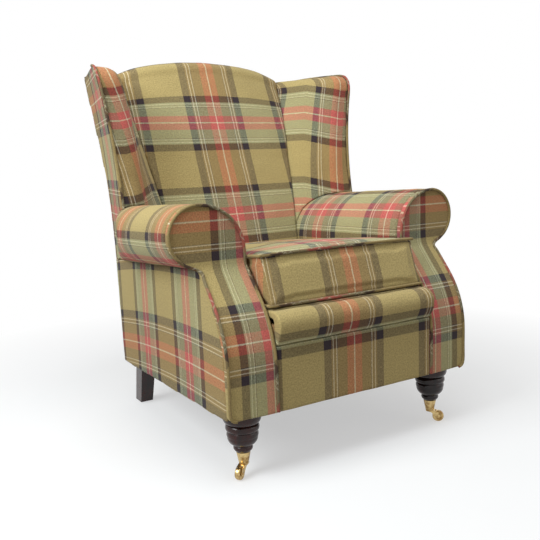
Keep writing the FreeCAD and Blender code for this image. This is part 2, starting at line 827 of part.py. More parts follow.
def wing_wire(z):
    """Plan section of the wing pad at z."""
    gap = size("padGap")
    skin = size("wingPanel") + gap
    tail, nose = wing_outer(z, skin)
    post = rear_y(z) - size("panelThickness") - size("postDepth") - gap
    share = (tail[1] - post) / (tail[1] - nose[1])
    outer_rear = (tail[0] + (nose[0] - tail[0]) * share, post)
    inset = top_inset(z)
    inner_nose = nose[0] + skin - size("wingThickness") + inset
    radius = size("wingNoseRadius") * (1 - 0.8 * inset / size("wingThickness"))
    bend = radius * (1 - math.cos(math.radians(45)))
    side = pad_side(z) + gap
    meet = min(pad_front(z, pad_side(z)) + 2 * gap + inset * 0.5, post - 4)
    inner_start = (inner_nose + radius, nose[1])
    inner_middle = (inner_nose + bend, nose[1] + bend)
    inner_end = (inner_nose, nose[1] + radius)
    points = [outer_rear, nose, inner_start, (inner_middle, inner_end)]
    points += [(side, meet), (side, post)]
    places = in_xy(points, z)
    return outline(places[0], places[1:])


def wing_cap_wire(z):
    """Plan section of the wing's top where it passes over the rear post."""
    gap = size("padGap")
    tail, nose = wing_outer(z, size("wingPanel") + gap)
    post = rear_y(z) - size("panelThickness") - size("postDepth") - gap
    share = (tail[1] - post) / (tail[1] - nose[1])
    outer_rear = (tail[0] + (nose[0] - tail[0]) * share, post)
    side = pad_side(z) + gap
    points = [tail, outer_rear, (side, post), (side, tail[1])]
    places = in_xy(points, z)
    return outline(places[0], places[1:])


def wing_panel_wire(z):
    """Plan section of the outside wing panel at z."""
    outer_tail, outer_nose = wing_outer(z, 0.0)
    inner_tail, inner_nose = wing_outer(z, size("wingPanel"))
    places = in_xy([outer_tail, outer_nose, inner_nose, inner_tail], z)
    return outline(places[0], places[1:])


def board_wire(z, grow):
    """Plan section of the wing board at z, or of its room in the pad.

    The room is larger by grow, and open towards the outside panel.
    """
    tail, nose = wing_outer(z, size("wingPanel") + size("padGap"))
    open_side = size("wingPanel") if grow else 0.0
    run = tail[1] - nose[1]
    lean = (tail[0] - nose[0]) / run
    near = size("wingBoardSetback") - top_inset(z) - grow
    far = size("wingBoardSetback") - top_inset(z) + size("wingBoardDepth") + grow
    thick = size("wingBoardThickness") + grow
    points = [
        (nose[0] + lean * near + open_side, nose[1] + near),
        (nose[0] + lean * far + open_side, nose[1] + far),
        (nose[0] + lean * far - thick, nose[1] + far),
        (nose[0] + lean * near - thick, nose[1] + near),
    ]
    places = in_xy(points, z)
    return outline(places[0], places[1:])


# Inside back

def crest_drop(x):
    """Fall of the crest at x from its middle."""
    share = abs(x) / pad_side(size("crestHeight"))
    knee = 2 / 3
    if share <= knee:
        return size("crestShoulderDrop") * (share / knee) ** 2
    first = size("crestShoulderDrop")
    more = size("crestEndDrop") - first
    slope = 2 * first / knee
    rest = (share - knee) / (1 - knee)
    return first + slope * (share - knee) + (more - slope * (1 - knee)) * rest * rest


def crown_at(x):
    """Setback of the pad's surface at x from its middle."""
    share = x / pad_side(size("backMiddleHeight"))
    return size("backCrown") * share * share


BACK_MARKS = (
    (size("backLowReach"), size("backPadBase")),
    (size("backLumbarReach"), size("backLumbarHeight")),
    (size("backMiddleReach"), size("backMiddleHeight")),
    (size("backUpperReach"), size("backUpperHeight")),
    (size("backTopReach"), size("backTopHeight")),
)


def pad_front(z, x):
    """Front surface of the inside back at z and x."""
    marks = BACK_MARKS[:3] if z <= BACK_MARKS[2][1] else BACK_MARKS[2:]
    centre, radius = circle_through(*marks)
    rise = min(max(z, marks[0][1]), marks[2][1])
    reach = math.sqrt(radius * radius - (rise - centre.y) ** 2)
    surface = centre.x + (reach if centre.x < marks[1][0] else -reach)
    return surface + crown_at(x)


def back_section(x):
    """Section of the inside back at x, over the crest rail to the rear panel."""
    crown = crown_at(x)
    drop = crest_drop(x)
    crest = size("crestHeight") - drop
    low, lumbar, middle, upper, top = [(m[0] + crown, m[1]) for m in BACK_MARKS]
    top = (top[0], top[1] - drop)
    front_top = (size("crestFrontReach") + crown * 0.5, crest)
    turn = ((top[0] * 0.72 + front_top[0] * 0.28), crest - (crest - top[1]) * 0.30)
    rear_edge = rear_y(crest - size("crestRearDrop")) - size("panelThickness")
    rear_top = (rear_edge, crest - size("crestRearDrop"))
    half = ((front_top[0] + rear_top[0]) / 2 + 4, crest - size("crestRearDrop") * 0.2)
    ledge = size("postTopHeight") + size("fitGap")
    room = size("panelThickness") + size("postDepth") + size("backPadGap")
    points = [low, (lumbar, middle), (upper, top), (turn, front_top), (half, rear_top)]
    points.append((rear_y(ledge) - size("panelThickness"), ledge))
    points.append((rear_y(ledge) - room, ledge))
    points += rear_steps(ledge, size("backPadBase"), room)
    places = in_yz(points, x)
    return outline(places[0], places[1:])


# Wooden frame

front_y = -dim("frontReach") + dim("borderThickness")
rail_low = dim("baseFrontHeight") + dim("railRise")
front_cut = facing_band(size("facingThickness") + size("fitGap"), 0.0, ahead=200)


def front_rail_shape():
    """Front rail, notched at its ends behind the facings."""
    half = size("frontPostInner")
    front = float(front_y)
    rear = front + size("railThickness")
    rail = block(-half, half, front, rear, float(rail_low), size("frontRailTop"))
    room = block(size("armInnerFoot") - size("fitGap"), half, front - 1, rear, 0, size("crestHeight"))
    notch = front_cut.common(room)
    return rail.cut(notch).cut(mirrored(notch)).Solids[0]


front_rail_solid = front_rail_shape()
solid_node("front_rail", front_rail_solid)

rear_post_front = rear_y(size("rearLegTop")) - size("panelThickness") - size("postDepth")
back_rail_y = Dim(rear_post_front, repr(rear_post_front)) + 4
back_rail = box_object(
    "BackRail",
    (-dim("postInner"), back_rail_y, dim("rearLegTop")),
    (dim("postInner") * 2, dim("railThickness"), dim("backRailTop") - dim("rearLegTop")),
)
keep(back_rail, "back_rail")

FRONT_POST_Y = -size("frontReach") + size("frontPostSetback")
FRONT_POST_REAR = FRONT_POST_Y + size("frontPostDepth")
SIDE_REAR = rear_y(size("rearFootHeight")) - size("panelThickness") - size("postDepth")


def side_rail_shape():
    gap = size("fitGap")
    front, rear = FRONT_POST_REAR, SIDE_REAR
    skin = size("panelThickness") + gap
    plan = xy_prism(
        [
            (panel_x(front) - skin, front),
            (panel_x(rear) - skin, rear),
            (panel_x(rear) - skin - size("railThickness"), rear),
            (panel_x(front) - skin - size("railThickness"), front),
        ],
        0,
        size("sideRailTop"),
    )
    side = yz_prism(
        [
            (front, base_z(front) + size("railRise")),
            (rear, base_z(rear) + size("railRise")),
            (rear, size("sideRailTop")),
            (front, size("sideRailTop")),
        ],
        0,
        size("panelFrontHalf"),
    )
    return plan.common(side).Solids[0]


pair_node("side_rail", side_rail_shape())


def rail_underside(y):
    """Underside of the arm rail at y."""
    share = (y + size("armFrontReach")) / (ARM_REAR + size("armFrontReach"))
    top = size("armRailTop") - share * size("armRailFall")
    return top - size("armRailHeight")


def front_post_shape():
    inner = size("frontPostInner")
    outer = inner + size("frontPostWidth")
    top_front = facing_y(outer, rail_underside(-size("armFrontReach")), size("facingThickness"))
    knee = size("facingKneeHeight")
    reach = facing_y(outer, knee, size("facingThickness"))
    front = max(FRONT_POST_Y, reach + size("fitGap"))
    slope = (size("facingNeckHeight") - knee) / (size("frontReach") - size("facingScrollReach"))
    start = min(knee + (front - reach) * slope, knee + 10) - 6
    top = max(top_front + 2, -size("armFrontReach") + 1)
    depth = size("frontPostDepth") * 0.65
    post = yz_prism(
        [
            (front, size("legTopHeight")),
            (front, start),
            (top, rail_underside(top)),
            (top + depth, rail_underside(top + depth)),
            (FRONT_POST_REAR, knee),
            (FRONT_POST_REAR, size("legTopHeight")),
        ],
        inner,
        outer,
    )
    bolt = Part.makeCylinder(
        size("boltRadius") + size("boltGap"),
        size("boltReach") + 2 * size("boltGap"),
        Vector(size("legHalf"), LEG_Y, size("legTopHeight")),
    )
    return post.cut(bolt).cut(front_cut).Solids[0]


LEG_Y = -size("frontReach") + size("legSetback")
pair_node("front_post", front_post_shape())


def back_post_shape():
    skin = size("panelThickness")
    low, high = size("rearLegTop"), size("postTopHeight")
    band = rear_band(low, high, skin, skin + size("postDepth"))
    return yz_prism(band, size("postInner"), size("postInner") + size("postWidth"))


pair_node("back_post", back_post_shape())


def cross_rail(low, height):
    skin = size("panelThickness")
    band = rear_band(low, low + height, skin, skin + size("backRailDepth"))
    return yz_prism(band, -size("postInner"), size("postInner"))


crest_low = size("postTopHeight") - size("crestRailHeight")
solid_node("crest_rail", cross_rail(crest_low, size("crestRailHeight")))
solid_node("lower_back_rail", cross_rail(size("lowerRailBase"), size("lowerRailHeight")))


def arm_rail_shape():
    gap = size("fitGap")
    wires = []
    front_station = -size("armFrontReach") + 1
    for station in (front_station, size("armPadTaperEnd"), ARM_REAR - size("padGap")):
        section = arm_section(station)
        inner = section.foot_inner + size("armPadThickness") + gap
        outer = inner + size("armRailWidth")
        top = section.rail_top - gap
        low = top + gap - size("armRailHeight")
        places = in_xz([(inner, low), (outer, low), (outer, top), (inner, top)], station)
        wires.append(outline(places[0], places[1:]))
    return loft(wires, ruled=True).cut(front_cut).Solids[0]


pair_node("arm_rail", arm_rail_shape())


def wing_board_shape(grow=0.0):
    levels = [z for z in wing_levels if z <= shoulder_z]
    return loft([board_wire(z, grow) for z in levels])


under_arm = arm_loft("filled_wire", size("fitGap"))
board_end = block(
    0, WING_HIGH, -size("frontReach"), size("frontReach"), shoulder_z - size("fitGap"), WING_TOP
)
wing_board = wing_board_shape().cut(arm_loft("filled_wire", size("fitGap") / 2))
wing_board = wing_board.cut(board_end).Solids[0]
pair_node("wing_frame", wing_board)


def corner_block_shapes():
    side = size("blockSide")
    front_face = float(front_y) + size("railThickness")
    inner = size("frontPostInner")
    front_low = float(rail_low)
    front = xy_prism(
        [(inner, front_face), (inner - side, front_face), (inner, front_face + side)],
        front_low,
        front_low + size("blockHeight"),
    )
    rail_face = float(back_rail_y)
    post_y = SIDE_REAR - size("fitGap")
    edge = panel_x(post_y) - size("panelThickness") - size("fitGap") - size("railThickness")
    low = size("rearLegTop")
    rear = xy_prism(
        [
            (size("postInner") - side, rail_face),
            (size("postInner"), rail_face),
            (size("postInner"), post_y),
            (edge, post_y),
            (edge, post_y - side),
            (size("postInner") - side, post_y - side),
        ],
        low,
        low + size("blockHeight"),
    )
    hole = Part.makeCylinder(
        size("boltRadius") + size("boltGap"),
        size("boltReach") + 2 * size("boltGap"),
        Vector(REAR_BOLT_X, REAR_BOLT_Y, low),
    )
    rear = rear.cut(hole)
    return [front, rear]


REAR_BOLT_X = size("rearLegOuterTop") - size("rearLegWidthTop") / 2 - 8
REAR_BOLT_Y = size("rearLegFrontTop") + size("rearLegDepthTop") / 2
blocks = corner_block_shapes()
blocks += [mirrored(shape) for shape in blocks]
solid_node("corner_blocks", Part.makeCompound(blocks))

# Springs, webbing, platform and dust cover

SPRING_LOW = size("platformThickness") + size("springWire")
SPRING_SLOPE = -math.radians(size("seatSlope"))


def spring_z(y):
    return seat_z(y) - SPRING_LOW / math.cos(SPRING_SLOPE) - size("springWire") * 0.2


def spring_path(x):
    """Points of one serpentine spring from the front rail to the rear rail."""
    start = float(front_y) + size("railThickness") / 2
    end = float(back_rail_y) + size("railThickness") / 2
    pitch = 2 * size("springTurn")
    margin = size("clipLength")
    turns = int((end - start - 2 * margin) / pitch)
    turns -= turns % 2
    slack = (end - start - turns * pitch) / 2
    reach = size("springTurn") + size("springRun") / 2
    path = [(x, start), (x, start + slack)]
    side = 1
    y = start + slack
    for _ in range(turns):
        path.append((x + side * reach, y))
        path.append((x + side * reach, y + pitch))
        path.append((x, y + pitch))
        side = -side
        y += pitch
    path.append((x, end))
    cleaned = [path[0]]
    for point in path[1:]:
        if math.dist(point, cleaned[-1]) > 1e-6:
            cleaned.append(point)
    places = [Vector(px, py, spring_z(py)) for px, py in cleaned]
    kept = [places[0]]
    for index in range(1, len(places) - 1):
        before = places[index] - kept[-1]
        after = places[index + 1] - places[index]
        if before.getAngle(after) > 1e-3:
            kept.append(places[index])
    kept.append(places[-1])
    return kept


def spring_places():
    count = int(size("springCount"))
    middle = (count - 1) / 2
    return [(index - middle) * size("springSpacing") for index in range(count)]


springs = [tube(spring_path(x), size("springWire")) for x in spring_places()]
solid_node("seat_springs", Part.makeCompound(springs))

clips = []
for x in spring_places():
    length, width = size("clipLength"), size("clipWidth")
    wire = size("springWire")
    start = float(front_y) + size("railThickness") / 2
    end = float(back_rail_y) + size("railThickness") / 2
    ends = ((start, 1, size("frontRailTop")), (end, -1, size("backRailTop")))
    for place, toward, rail_top in ends:
        y_from = place - length / 2
        top = spring_z(place) + 2.4 * wire
        clip = block(x - width / 2, x + width / 2, y_from, y_from + length, rail_top, top)
        groove_from = Vector(x, place - toward * wire, spring_z(place - toward * wire))
        far = place + toward * length
        groove_to = Vector(x, far, spring_z(far))
        groove = groove_to - groove_from
        clip = clip.cut(Part.makeCylinder(wire + 0.15, groove.Length, groove_from, groove))
        clips.append(clip.Solids[0])
solid_node("spring_clips", Part.makeCompound(clips))

platform_half = size("armInnerFoot") - size("platformSideGap")
platform_front = -size("frontReach") + size("lipDepth") + size("fitGap")
platform_rear = size("backLowReach") - 4 * size("fitGap")
platform_rear_half = size("backPadHalf") - 2 * size("fitGap")
platform = yz_prism(
    [
        (platform_front, seat_z(platform_front)),
        (platform_rear, seat_z(platform_rear)),
        (platform_rear, seat_z(platform_rear) - size("platformThickness")),
        (platform_front, seat_z(platform_front) - size("platformThickness")),
    ],
    -platform_half,
    platform_half,
)
platform_plan = xy_prism(
    [
        (-platform_half, platform_front),
        (platform_half, platform_front),
        (platform_half, -size("armFrontReach")),
        (platform_rear_half, platform_rear),
        (-platform_rear_half, platform_rear),
        (-platform_half, -size("armFrontReach")),
    ],
    0,
    size("crestHeight"),
)
solid_node("seat_platform", platform.common(platform_plan).Solids[0])

bands = []
band_count = int(size("webbingCount"))
band_low = size("backPadBase") + 90
band_high = crest_low - size("webbingWidth") - 6
for index in range(band_count):
    low = band_low + (band_high - band_low) * index / max(band_count - 1, 1)
    inner = size("panelThickness") + size("postDepth")
    band = rear_band(low, low + size("webbingWidth"), inner, inner + size("webbingThickness"))
    half = size("postInner") - 0.5 * size("postWidth")
    half = min(half + size("postWidth"), pad_side(low) - 2)
    bands.append(yz_prism(band, -half, half))
solid_node("back_webbing", Part.makeCompound(bands))


def dust_cover_shape():
    front = float(front_y) + size("railThickness") / 2
    rear = float(back_rail_y) + size("railThickness") - 1
    rise = size("railRise") - 0.1
    sheet_thickness = size("dustCover")
    half = panel_x(rear) - size("panelThickness") - 1
    slab = yz_prism(
        [
            (front, base_z(front) + rise - sheet_thickness),
            (rear, base_z(rear) + rise - sheet_thickness),
            (rear, base_z(rear) + rise),
            (front, base_z(front) + rise),
        ],
        -half,
        half,
    )
    cutters = []
    inner = size("frontPostInner") - 1
    for side in (1, -1):
        x_from, x_to = (inner, half + 1) if side > 0 else (-half - 1, -inner)
        cutters.append(block(x_from, x_to, front - 1, FRONT_POST_REAR + 1, 0, size("crestHeight")))
        x_from, x_to = sorted((side * (size("postInner") - 1), side * (half + 1)))
        cutters.append(block(x_from, x_to, SIDE_REAR - 1, rear + 1, 0, size("crestHeight")))
    cutters.append(rear_leg_shape(size("fitGap")))
    cutters.append(mirrored(rear_leg_shape(size("fitGap"))))
    plate = Part.makeCylinder(
        size("legPlateRadius") + 1, size("legTopHeight") + 10, Vector(size("legHalf"), LEG_Y, 0)
    )
    cutters += [plate, mirrored(plate)]
    return slab.cut(Part.makeCompound(cutters + blocks)).Solids[0]


def rear_leg_shape(grow=0.0):
    """Raked square leg as a plain solid, used to cut the dust cover."""
    levels = (
        (size("glideHeight"), "Foot"),
        (size("rearLegTop"), "Top"),
    )
    wires = []
    for z, end in levels:
        outer = size("rearLegOuter" + end) + grow
        inner = size("rearLegOuter" + end) - size("rearLegWidth" + end) - grow
        near = size("rearLegFront" + end) - grow
        far = size("rearLegFront" + end) + size("rearLegDepth" + end) + grow
        places = in_xy([(inner, near), (outer, near), (outer, far), (inner, far)], z)
        wires.append(outline(places[0], places[1:]))
    return loft(wires, ruled=True)


solid_node("dust_cover", dust_cover_shape())

# Upholstery of the arms

facing_region = facing_band(0.0, size("facingThickness"))


def facing_outline():
    """Front outline of the right facing in (x, z)."""
    section = arm_section(-size("armFrontReach"))
    foot = size("baseFrontHeight")
    outer = size("facingOuter")
    rounding = size("facingFootRadius")
    turn = rounding * (1 - math.cos(math.radians(45)))
    neck = section.at(-size("neckAngle"))
    points = [section.springing()] + section.scroll()
    points += [
        (outer, neck[1] - 2),
        (outer, foot + rounding),
        ((outer - turn, foot + turn), (outer - rounding, foot)),
        (size("armInnerFoot"), foot),
    ]
    return points


facing = xz_prism(facing_outline(), -size("frontReach") - 40, 0).common(facing_region)
pair_node("arm_facing", facing.Solids[0])


def facing_piping_path():
    """Piping just inside the facing's edge, on its front face."""
    r = size("pipingRadius")
    section = arm_section(-size("armFrontReach"), -r)
    foot = size("baseFrontHeight") + 2
    outer = size("facingOuter") - r
    neck, bend = size("facingNeckHeight"), size("facingBend")
    steps = 14
    climb = 1.8 * size("facingKneeBend")
    knee_levels = [KNEE_START + climb * count / steps for count in range(steps + 1)]
    spots = [(size("armInnerFoot") + r, foot)]
    spots += [(pad_face(z) + r, z) for z in knee_levels]
    spots += [(pad_face(z) + r, z) for z in (neck - bend, neck)]
    shoulder = section.shoulder
    spring = section.top - shoulder
    for angle in (180, 162, 144, 126, 108, 90):
        turn = math.radians(angle)
        spots.append((section.centre + shoulder * math.cos(turn), spring + shoulder * math.sin(turn)))
    for angle in (65, 40, 15, -10, -35, -60):
        spots.append(section.at(angle))
    spots += [(outer, z) for z in [neck - 4, neck - bend - 8] + knee_levels[::-1]]
    spots.append((outer, size("baseFrontHeight") + size("facingFootRadius")))
    places = []
    for x, z in spots:
        rise = knee_set_back(z)[1]
        lean = 1 / math.sqrt(1 - rise * rise) if z <= neck else 1.0
        places.append(Vector(x, facing_y(x, z) - (r + size("fitGap")) * lean, z))
    return places


pair_node("facing_piping", tube(facing_piping_path(), size("pipingRadius")))

arm = arm_loft("pad_wire").cut(front_cut).common(arm_plan()).cut(front_rail_solid)
pair_node("arm", max(arm.Solids, key=lambda solid: solid.Volume))


def outside_arm_shape():
    front = -size("frontReach")
    rear = size("rearFootReach") - size("panelThickness")
    inner = size("panelThickness")
    plan = xy_prism(
        [
            (panel_x(front), front),
            (panel_x(rear + 60), rear + 60),
            (panel_x(rear + 60) - inner, rear + 60),
            (panel_x(front) - inner, front),
        ],
        0,
        size("crestHeight"),
    )
    gap = size("fitGap")
    top_rear = rear_y(seam_z(rear)) - size("panelThickness")
    foot = base_z(rear)
    points = [(front, base_z(front)), (rear_y(foot) - inner, foot)]
    points.append((top_rear, seam_z(top_rear) - gap))
    points.append((-size("armFrontReach") - 40, seam_z(-size("armFrontReach") - 40) - gap))
    points.append((front, size("facingKneeHeight")))
    side = yz_prism(points, 0, size("panelFrontHalf") + 10)
    return plan.common(side).cut(front_cut).Solids[0]


pair_node("outside_arm", outside_arm_shape())

# Wings

lower_wing = loft([wing_wire(z) for z in wing_levels if z <= shoulder_z])
upper_wing = loft([wing_wire(z) for z in wing_levels if z >= shoulder_z], ruled=True)
wing = lower_wing.fuse(upper_wing)
cap_low = size("postTopHeight") + size("fitGap")
cap_levels = [cap_low] + [z for z in wing_levels if z > cap_low + 4]
wing_cap = loft([wing_cap_wire(z) for z in cap_levels], ruled=True)
wing = wing.fuse(wing_cap)
board_room = wing_board_shape(size("fitGap"))


def wing_of(whole, arm_space, board_space):
    """The wing pad over the arm, with room for its board."""
    pad = whole.cut(arm_space).cut(board_space)
    return max(pad.Solids, key=lambda solid: solid.Volume)


wing_right = wing_of(wing, under_arm, board_room)
solid_node("wing_right", wing_right)
solid_node("wing_left", wing_of(mirrored(wing), mirrored(under_arm), mirrored(board_room)))


def outside_wing_shape():
    low = seam_z(rear_y(size("rearSeatHeight"))) - 12
    levels = [low, (low + WING_LOW) / 2] + wing_levels[1:]
    lower = loft([wing_panel_wire(z) for z in levels if z <= shoulder_z])
    upper = loft([wing_panel_wire(z) for z in levels if z >= shoulder_z], ruled=True)
    panel = lower.fuse(upper)
    gap = size("fitGap")
    roll = arm_loft("filled_wire", gap)
    cutter = roll.common(arm_plan(gap))
    panel = panel.cut(cutter)
    front, rear = wing_front(WING_LOW)[1] - 60, rear_y(size("rearSeatHeight")) + 60
    outer = size("wingHighFrontHalf") + 60
    below = yz_prism(
        [(front, 0), (rear, 0), (rear, seam_z(rear) + gap), (front, seam_z(front) + gap)],
        0,
        outer,
    )
    panel = panel.cut(below)
    edge = size("rollEndReach") - size("rollEndLap") + gap
    middle = size("rollTopHeight") - size("rollRadius")
    panel = panel.cut(block(0, outer, front, edge, 0, middle))
    return max(panel.Solids, key=lambda solid: solid.Volume)


outside_wing = outside_wing_shape()
pair_node("outside_wing", outside_wing)


def wing_piping_path():
    """Piping up the front edge of the wing and back along its top."""
    r = size("pipingRadius")
    low = WING_LOW + 22
    levels = [low, (WING_LOW + WING_MIDDLE) / 2, WING_MIDDLE, (WING_MIDDLE + WING_HIGH) / 2]
    levels.append(WING_HIGH - 12)
    spots = []
    for z in levels:
        x, y = wing_outer(z, 0.0)[1]
        spots.append(Vector(x - r, y - r - 0.2, z))
    for share in (0.35, 0.12):
        z = WING_TOP - size("wingTopRadius") * share
        x, y = wing_outer(z, 0.0)[1]
        spots.append(Vector(x - r, y - r * 0.75 - 0.2, z + r * 0.75 + 0.2))
    x, y = wing_outer(WING_TOP, 0.0)[1]
    tail, nose = wing_outer(WING_TOP, 0.0)
    spots.append(Vector(nose[0] - r, nose[1] + 8, WING_TOP + r + 0.2))
    spots.append(Vector(tail[0] - r + 1, tail[1] - 2, WING_TOP + r + 0.2))
    return spots


wing_piping = tube(wing_piping_path(), size("pipingRadius")).cut(outside_wing).cut(wing_right)
pair_node("wing_piping", max(wing_piping.Solids, key=lambda solid: solid.Volume))

# Inside and outside back

back_half = pad_side(size("crestHeight")) + 6
back_stations = [-1.0, -0.84, -2 / 3, -0.4, 0.0, 0.4, 2 / 3, 0.84, 1.0]
back_pad = loft([back_section(share * back_half) for share in back_stations])
foot, lean_from = size("backPadBase"), size("backPadLeanHeight")
crest_z = size("crestHeight") + 20
low_half, high_half = pad_side(foot), pad_side(crest_z)
back_outline = xz_prism(
    [
        (-low_half, foot - 5),
        (low_half, foot - 5),
        (low_half, lean_from),
        (high_half, crest_z),
        (-high_half, crest_z),
        (-low_half, lean_from),
    ],
    0,
    size("rearTopReach") + 60,
)
solid_node("inside_back", back_pad.common(back_outline).Solids[0])


def outside_back_shape():
    skin = size("panelThickness")
    foot = size("rearFootHeight")
    crest = size("crestHeight") - size("crestRearDrop") - 2
    band = yz_prism(rear_band(foot, crest, 0.0, skin - 0.05), -450, 450)
    low, top = size("rearHalfLow"), size("rearHalfTop")
    shoulder = size("rearShoulderHeight")
    end = WING_TOP - 6
    side = pad_side(end)
    outer = xz_prism(
        [
            (-low, foot - 5),
            (low, foot - 5),
            (low, (WING_LOW + shoulder) / 2),
            (wing_rear_x(end), end),
            (side, crest - size("crestShoulderDrop") * 1.6),
            ((0, crest), (-side, crest - size("crestShoulderDrop") * 1.6)),
            (-wing_rear_x(end), end),
            (-low, (WING_LOW + shoulder) / 2),
        ],
        0,
        size("rearTopReach") + 60,
    )
    return band.common(outer).Solids[0]


solid_node("outside_back", outside_back_shape())

# Front lip and border

front_half = size("armInnerFoot") - size("fitGap")


def lip_shape():
    front = -size("frontReach")
    low = size("borderTopHeight") + 2
    top = size("lipTopHeight")
    nose = -size("lipReach")
    rear = front + size("lipDepth")
    clip_place = front + size("borderThickness") + size("railThickness") / 2
    rail = spring_z(clip_place) + 2.4 * size("springWire") + 2 * size("fitGap")
    middle = (low + top) / 2
    back = float(front_y) - size("fitGap")
    lean = (nose + front) / 2
    points = [
        (front, low),
        ((lean - 2, (low + middle) / 2 - 4), (nose, middle)),
        ((nose + 6, (middle + top) / 2 + 6), (front + 12, top)),
        (rear, min(top, seat_z(rear))),
        (rear, rail),
        (back, rail),
        (back, low),
    ]
    return yz_prism(points, -front_half, front_half)


solid_node("front_lip_roll", lip_shape())

border = box_object(
    "FrontBorder",
    (Dim(-front_half, repr(-front_half)), -dim("frontReach"), dim("baseFrontHeight")),
    (
        (dim("armInnerFoot") - dim("fitGap")) * 2,
        dim("borderThickness"),
        dim("borderTopHeight") - dim("baseFrontHeight"),
    ),
)
bind(border, Placement__Base__x=-(dim("armInnerFoot") - dim("fitGap")))
keep(border, "front_border")

# Seat cushion


class CushionStation:
    """One cross-section of the cushion, leaning with the front or the back."""

    def __init__(self, low, high, low_half, high_half, crown, draw):
        self.low = low
        self.high = high
        self.low_half = low_half
        self.high_half = high_half
        self.crown = crown
        self.draw = draw

    def corners(self, inset=0.0):
        low_y, low_z = self.low
        high_y, high_z = self.high
        rise = math.hypot(high_y - low_y, high_z - low_z)
        up = ((high_y - low_y) / rise, (high_z - low_z) / rise)
        low_half = self.low_half - self.draw - inset
        high_half = self.high_half - self.draw - inset
        base = (low_y + up[0] * inset, low_z + up[1] * inset)
        head = (high_y - up[0] * inset, high_z - up[1] * inset)
        return base, head, low_half, high_half, up

    def wire(self, inset=0.0):
        base, head, low_half, high_half, up = self.corners(inset)
        bow = size("cushionBow")
        mid_y, mid_z = (base[0] + head[0]) / 2, (base[1] + head[1]) / 2
        half = (low_half + high_half) / 2 - bow
        peak = (head[0] + up[0] * self.crown, head[1] + up[1] * self.crown)
        start = Vector(-low_half, base[0], base[1])
        steps = [
            Vector(low_half, base[0], base[1]),
            (Vector(half, mid_y, mid_z), Vector(high_half, head[0], head[1])),
            (Vector(0, peak[0], peak[1]), Vector(-high_half, head[0], head[1])),
            (Vector(-half, mid_y, mid_z), start),
        ]
        return outline(start, steps)


def cushion_stations(inset=0.0):
    front_low = (-size("cushionBottomReach"), 0)
    rear_low = pad_front(seat_z(size("backLowReach")), 0) - size("cushionRearGap")
    rear_high = pad_front(size("cushionRearTop"), 0) - size("cushionRearGap")
    front_high = -size("cushionTopReach")
    narrow = size("armInnerRear") - size("cushionSideGap")
    wide_low = size("armInnerFoot") - size("cushionSideGap")
    wide_high = pad_face(size("cushionFrontTop")) - size("cushionSideGap")
    stations = []
    taper_from = -size("armFrontReach")
    shares = (0.0, 0.04, 0.2, 0.5, 0.8, 0.96, 1.0)
    run_low = rear_low - front_low[0]
    run_high = rear_high - front_high
    for share in shares:
        low_y = front_low[0] + run_low * share
        high_y = front_high + run_high * share
        high_z = size("cushionFrontTop") + (size("cushionRearTop") - size("cushionFrontTop")) * share
        closing = min(max((low_y - taper_from) / (rear_low - taper_from), 0.0), 1.0)
        puff = 1 - (2 * share - 1) ** 4
        draw = size("cushionDrawIn") * (1 - (2 * share - 1) ** 2)
        end = inset if share == 0.0 else -inset if share == 1.0 else 0.0
        stations.append(
            CushionStation(
                (low_y + end, seat_z(low_y) + size("cushionGap")),
                (high_y + end, high_z),
                wide_low + (narrow - wide_low) * closing,
                wide_high + (narrow - wide_high) * closing,
                size("cushionCrown") * (0.16 + 0.84 * puff),
                draw,
            )
        )
    return stations


def cushion_solid(inset=0.0):
    return loft([station.wire(inset) for station in cushion_stations(inset)])


cushion = cushion_solid()
cavity = cushion_solid(size("coverThickness"))
solid_node("cushion_cover", cushion.cut(cavity).Solids[0])
solid_node("cushion_foam", cushion_solid(size("coverThickness") + size("foamGap")))


def welt_offset(which):
    """How far the piping's centre lies out from and above the seam."""
    reach = size("weltRadius") + size("weltGap")
    if which == "top":
        return reach * math.cos(math.radians(45)), reach * math.sin(math.radians(45))
    return reach, reach


def welt_path(which):
    """Closed path of the piping round the cushion's upper or lower edge."""
    right, left = [], []
    stations = cushion_stations()
    for index, station in enumerate(stations):
        base, head, low_half, high_half, up = station.corners()
        y, z = head if which == "top" else base
        half = high_half if which == "top" else low_half
        out, lift = welt_offset(which)
        at_rear = index == len(stations) - 1
        if index == 0:
            y -= out
        elif at_rear:
            y += out + (size("weltBulge") if which == "bottom" else 0.0)
        else:
            half += size("weltBulge")
        right.append(Vector(half + out, y, z + lift))
        left.append(Vector(-half - out, y, z + lift))
    front = stations[0]
    rear = stations[-1]
    middle_front, middle_rear = [], []
    if which == "top":
        offset, lift = welt_offset(which)
        for station, store in ((front, middle_front), (rear, middle_rear)):
            base, head, low_half, high_half, up = station.corners()
            out = -offset if station is front else offset
            for share in (0.8, 0.4, 0.0, -0.4, -0.8):
                rise = station.crown * (1 - share * share)
                store.append(
                    Vector(share * high_half, head[0] + up[0] * rise + out, head[1] + rise + lift)
                )
    loop = left[::-1][-1:] + [v for v in middle_front[::-1]] + right
    loop += middle_rear + left[::-1][:-1]
    return loop


welts = []
for which in ("top", "bottom"):
    corner = size("weltRadius") + size("weltGap")
    welts.append(tube(welt_path(which), size("weltRadius"), True, corner))
solid_node("cushion_piping", Part.makeCompound(welts))

# Turned legs, castors: bodies with sketched profiles


def origin_plane(body, role):
    for feature in body.Origin.OriginFeatures:
        if feature.Role == role:
            return feature
    raise ValueError("no plane %s" % role)


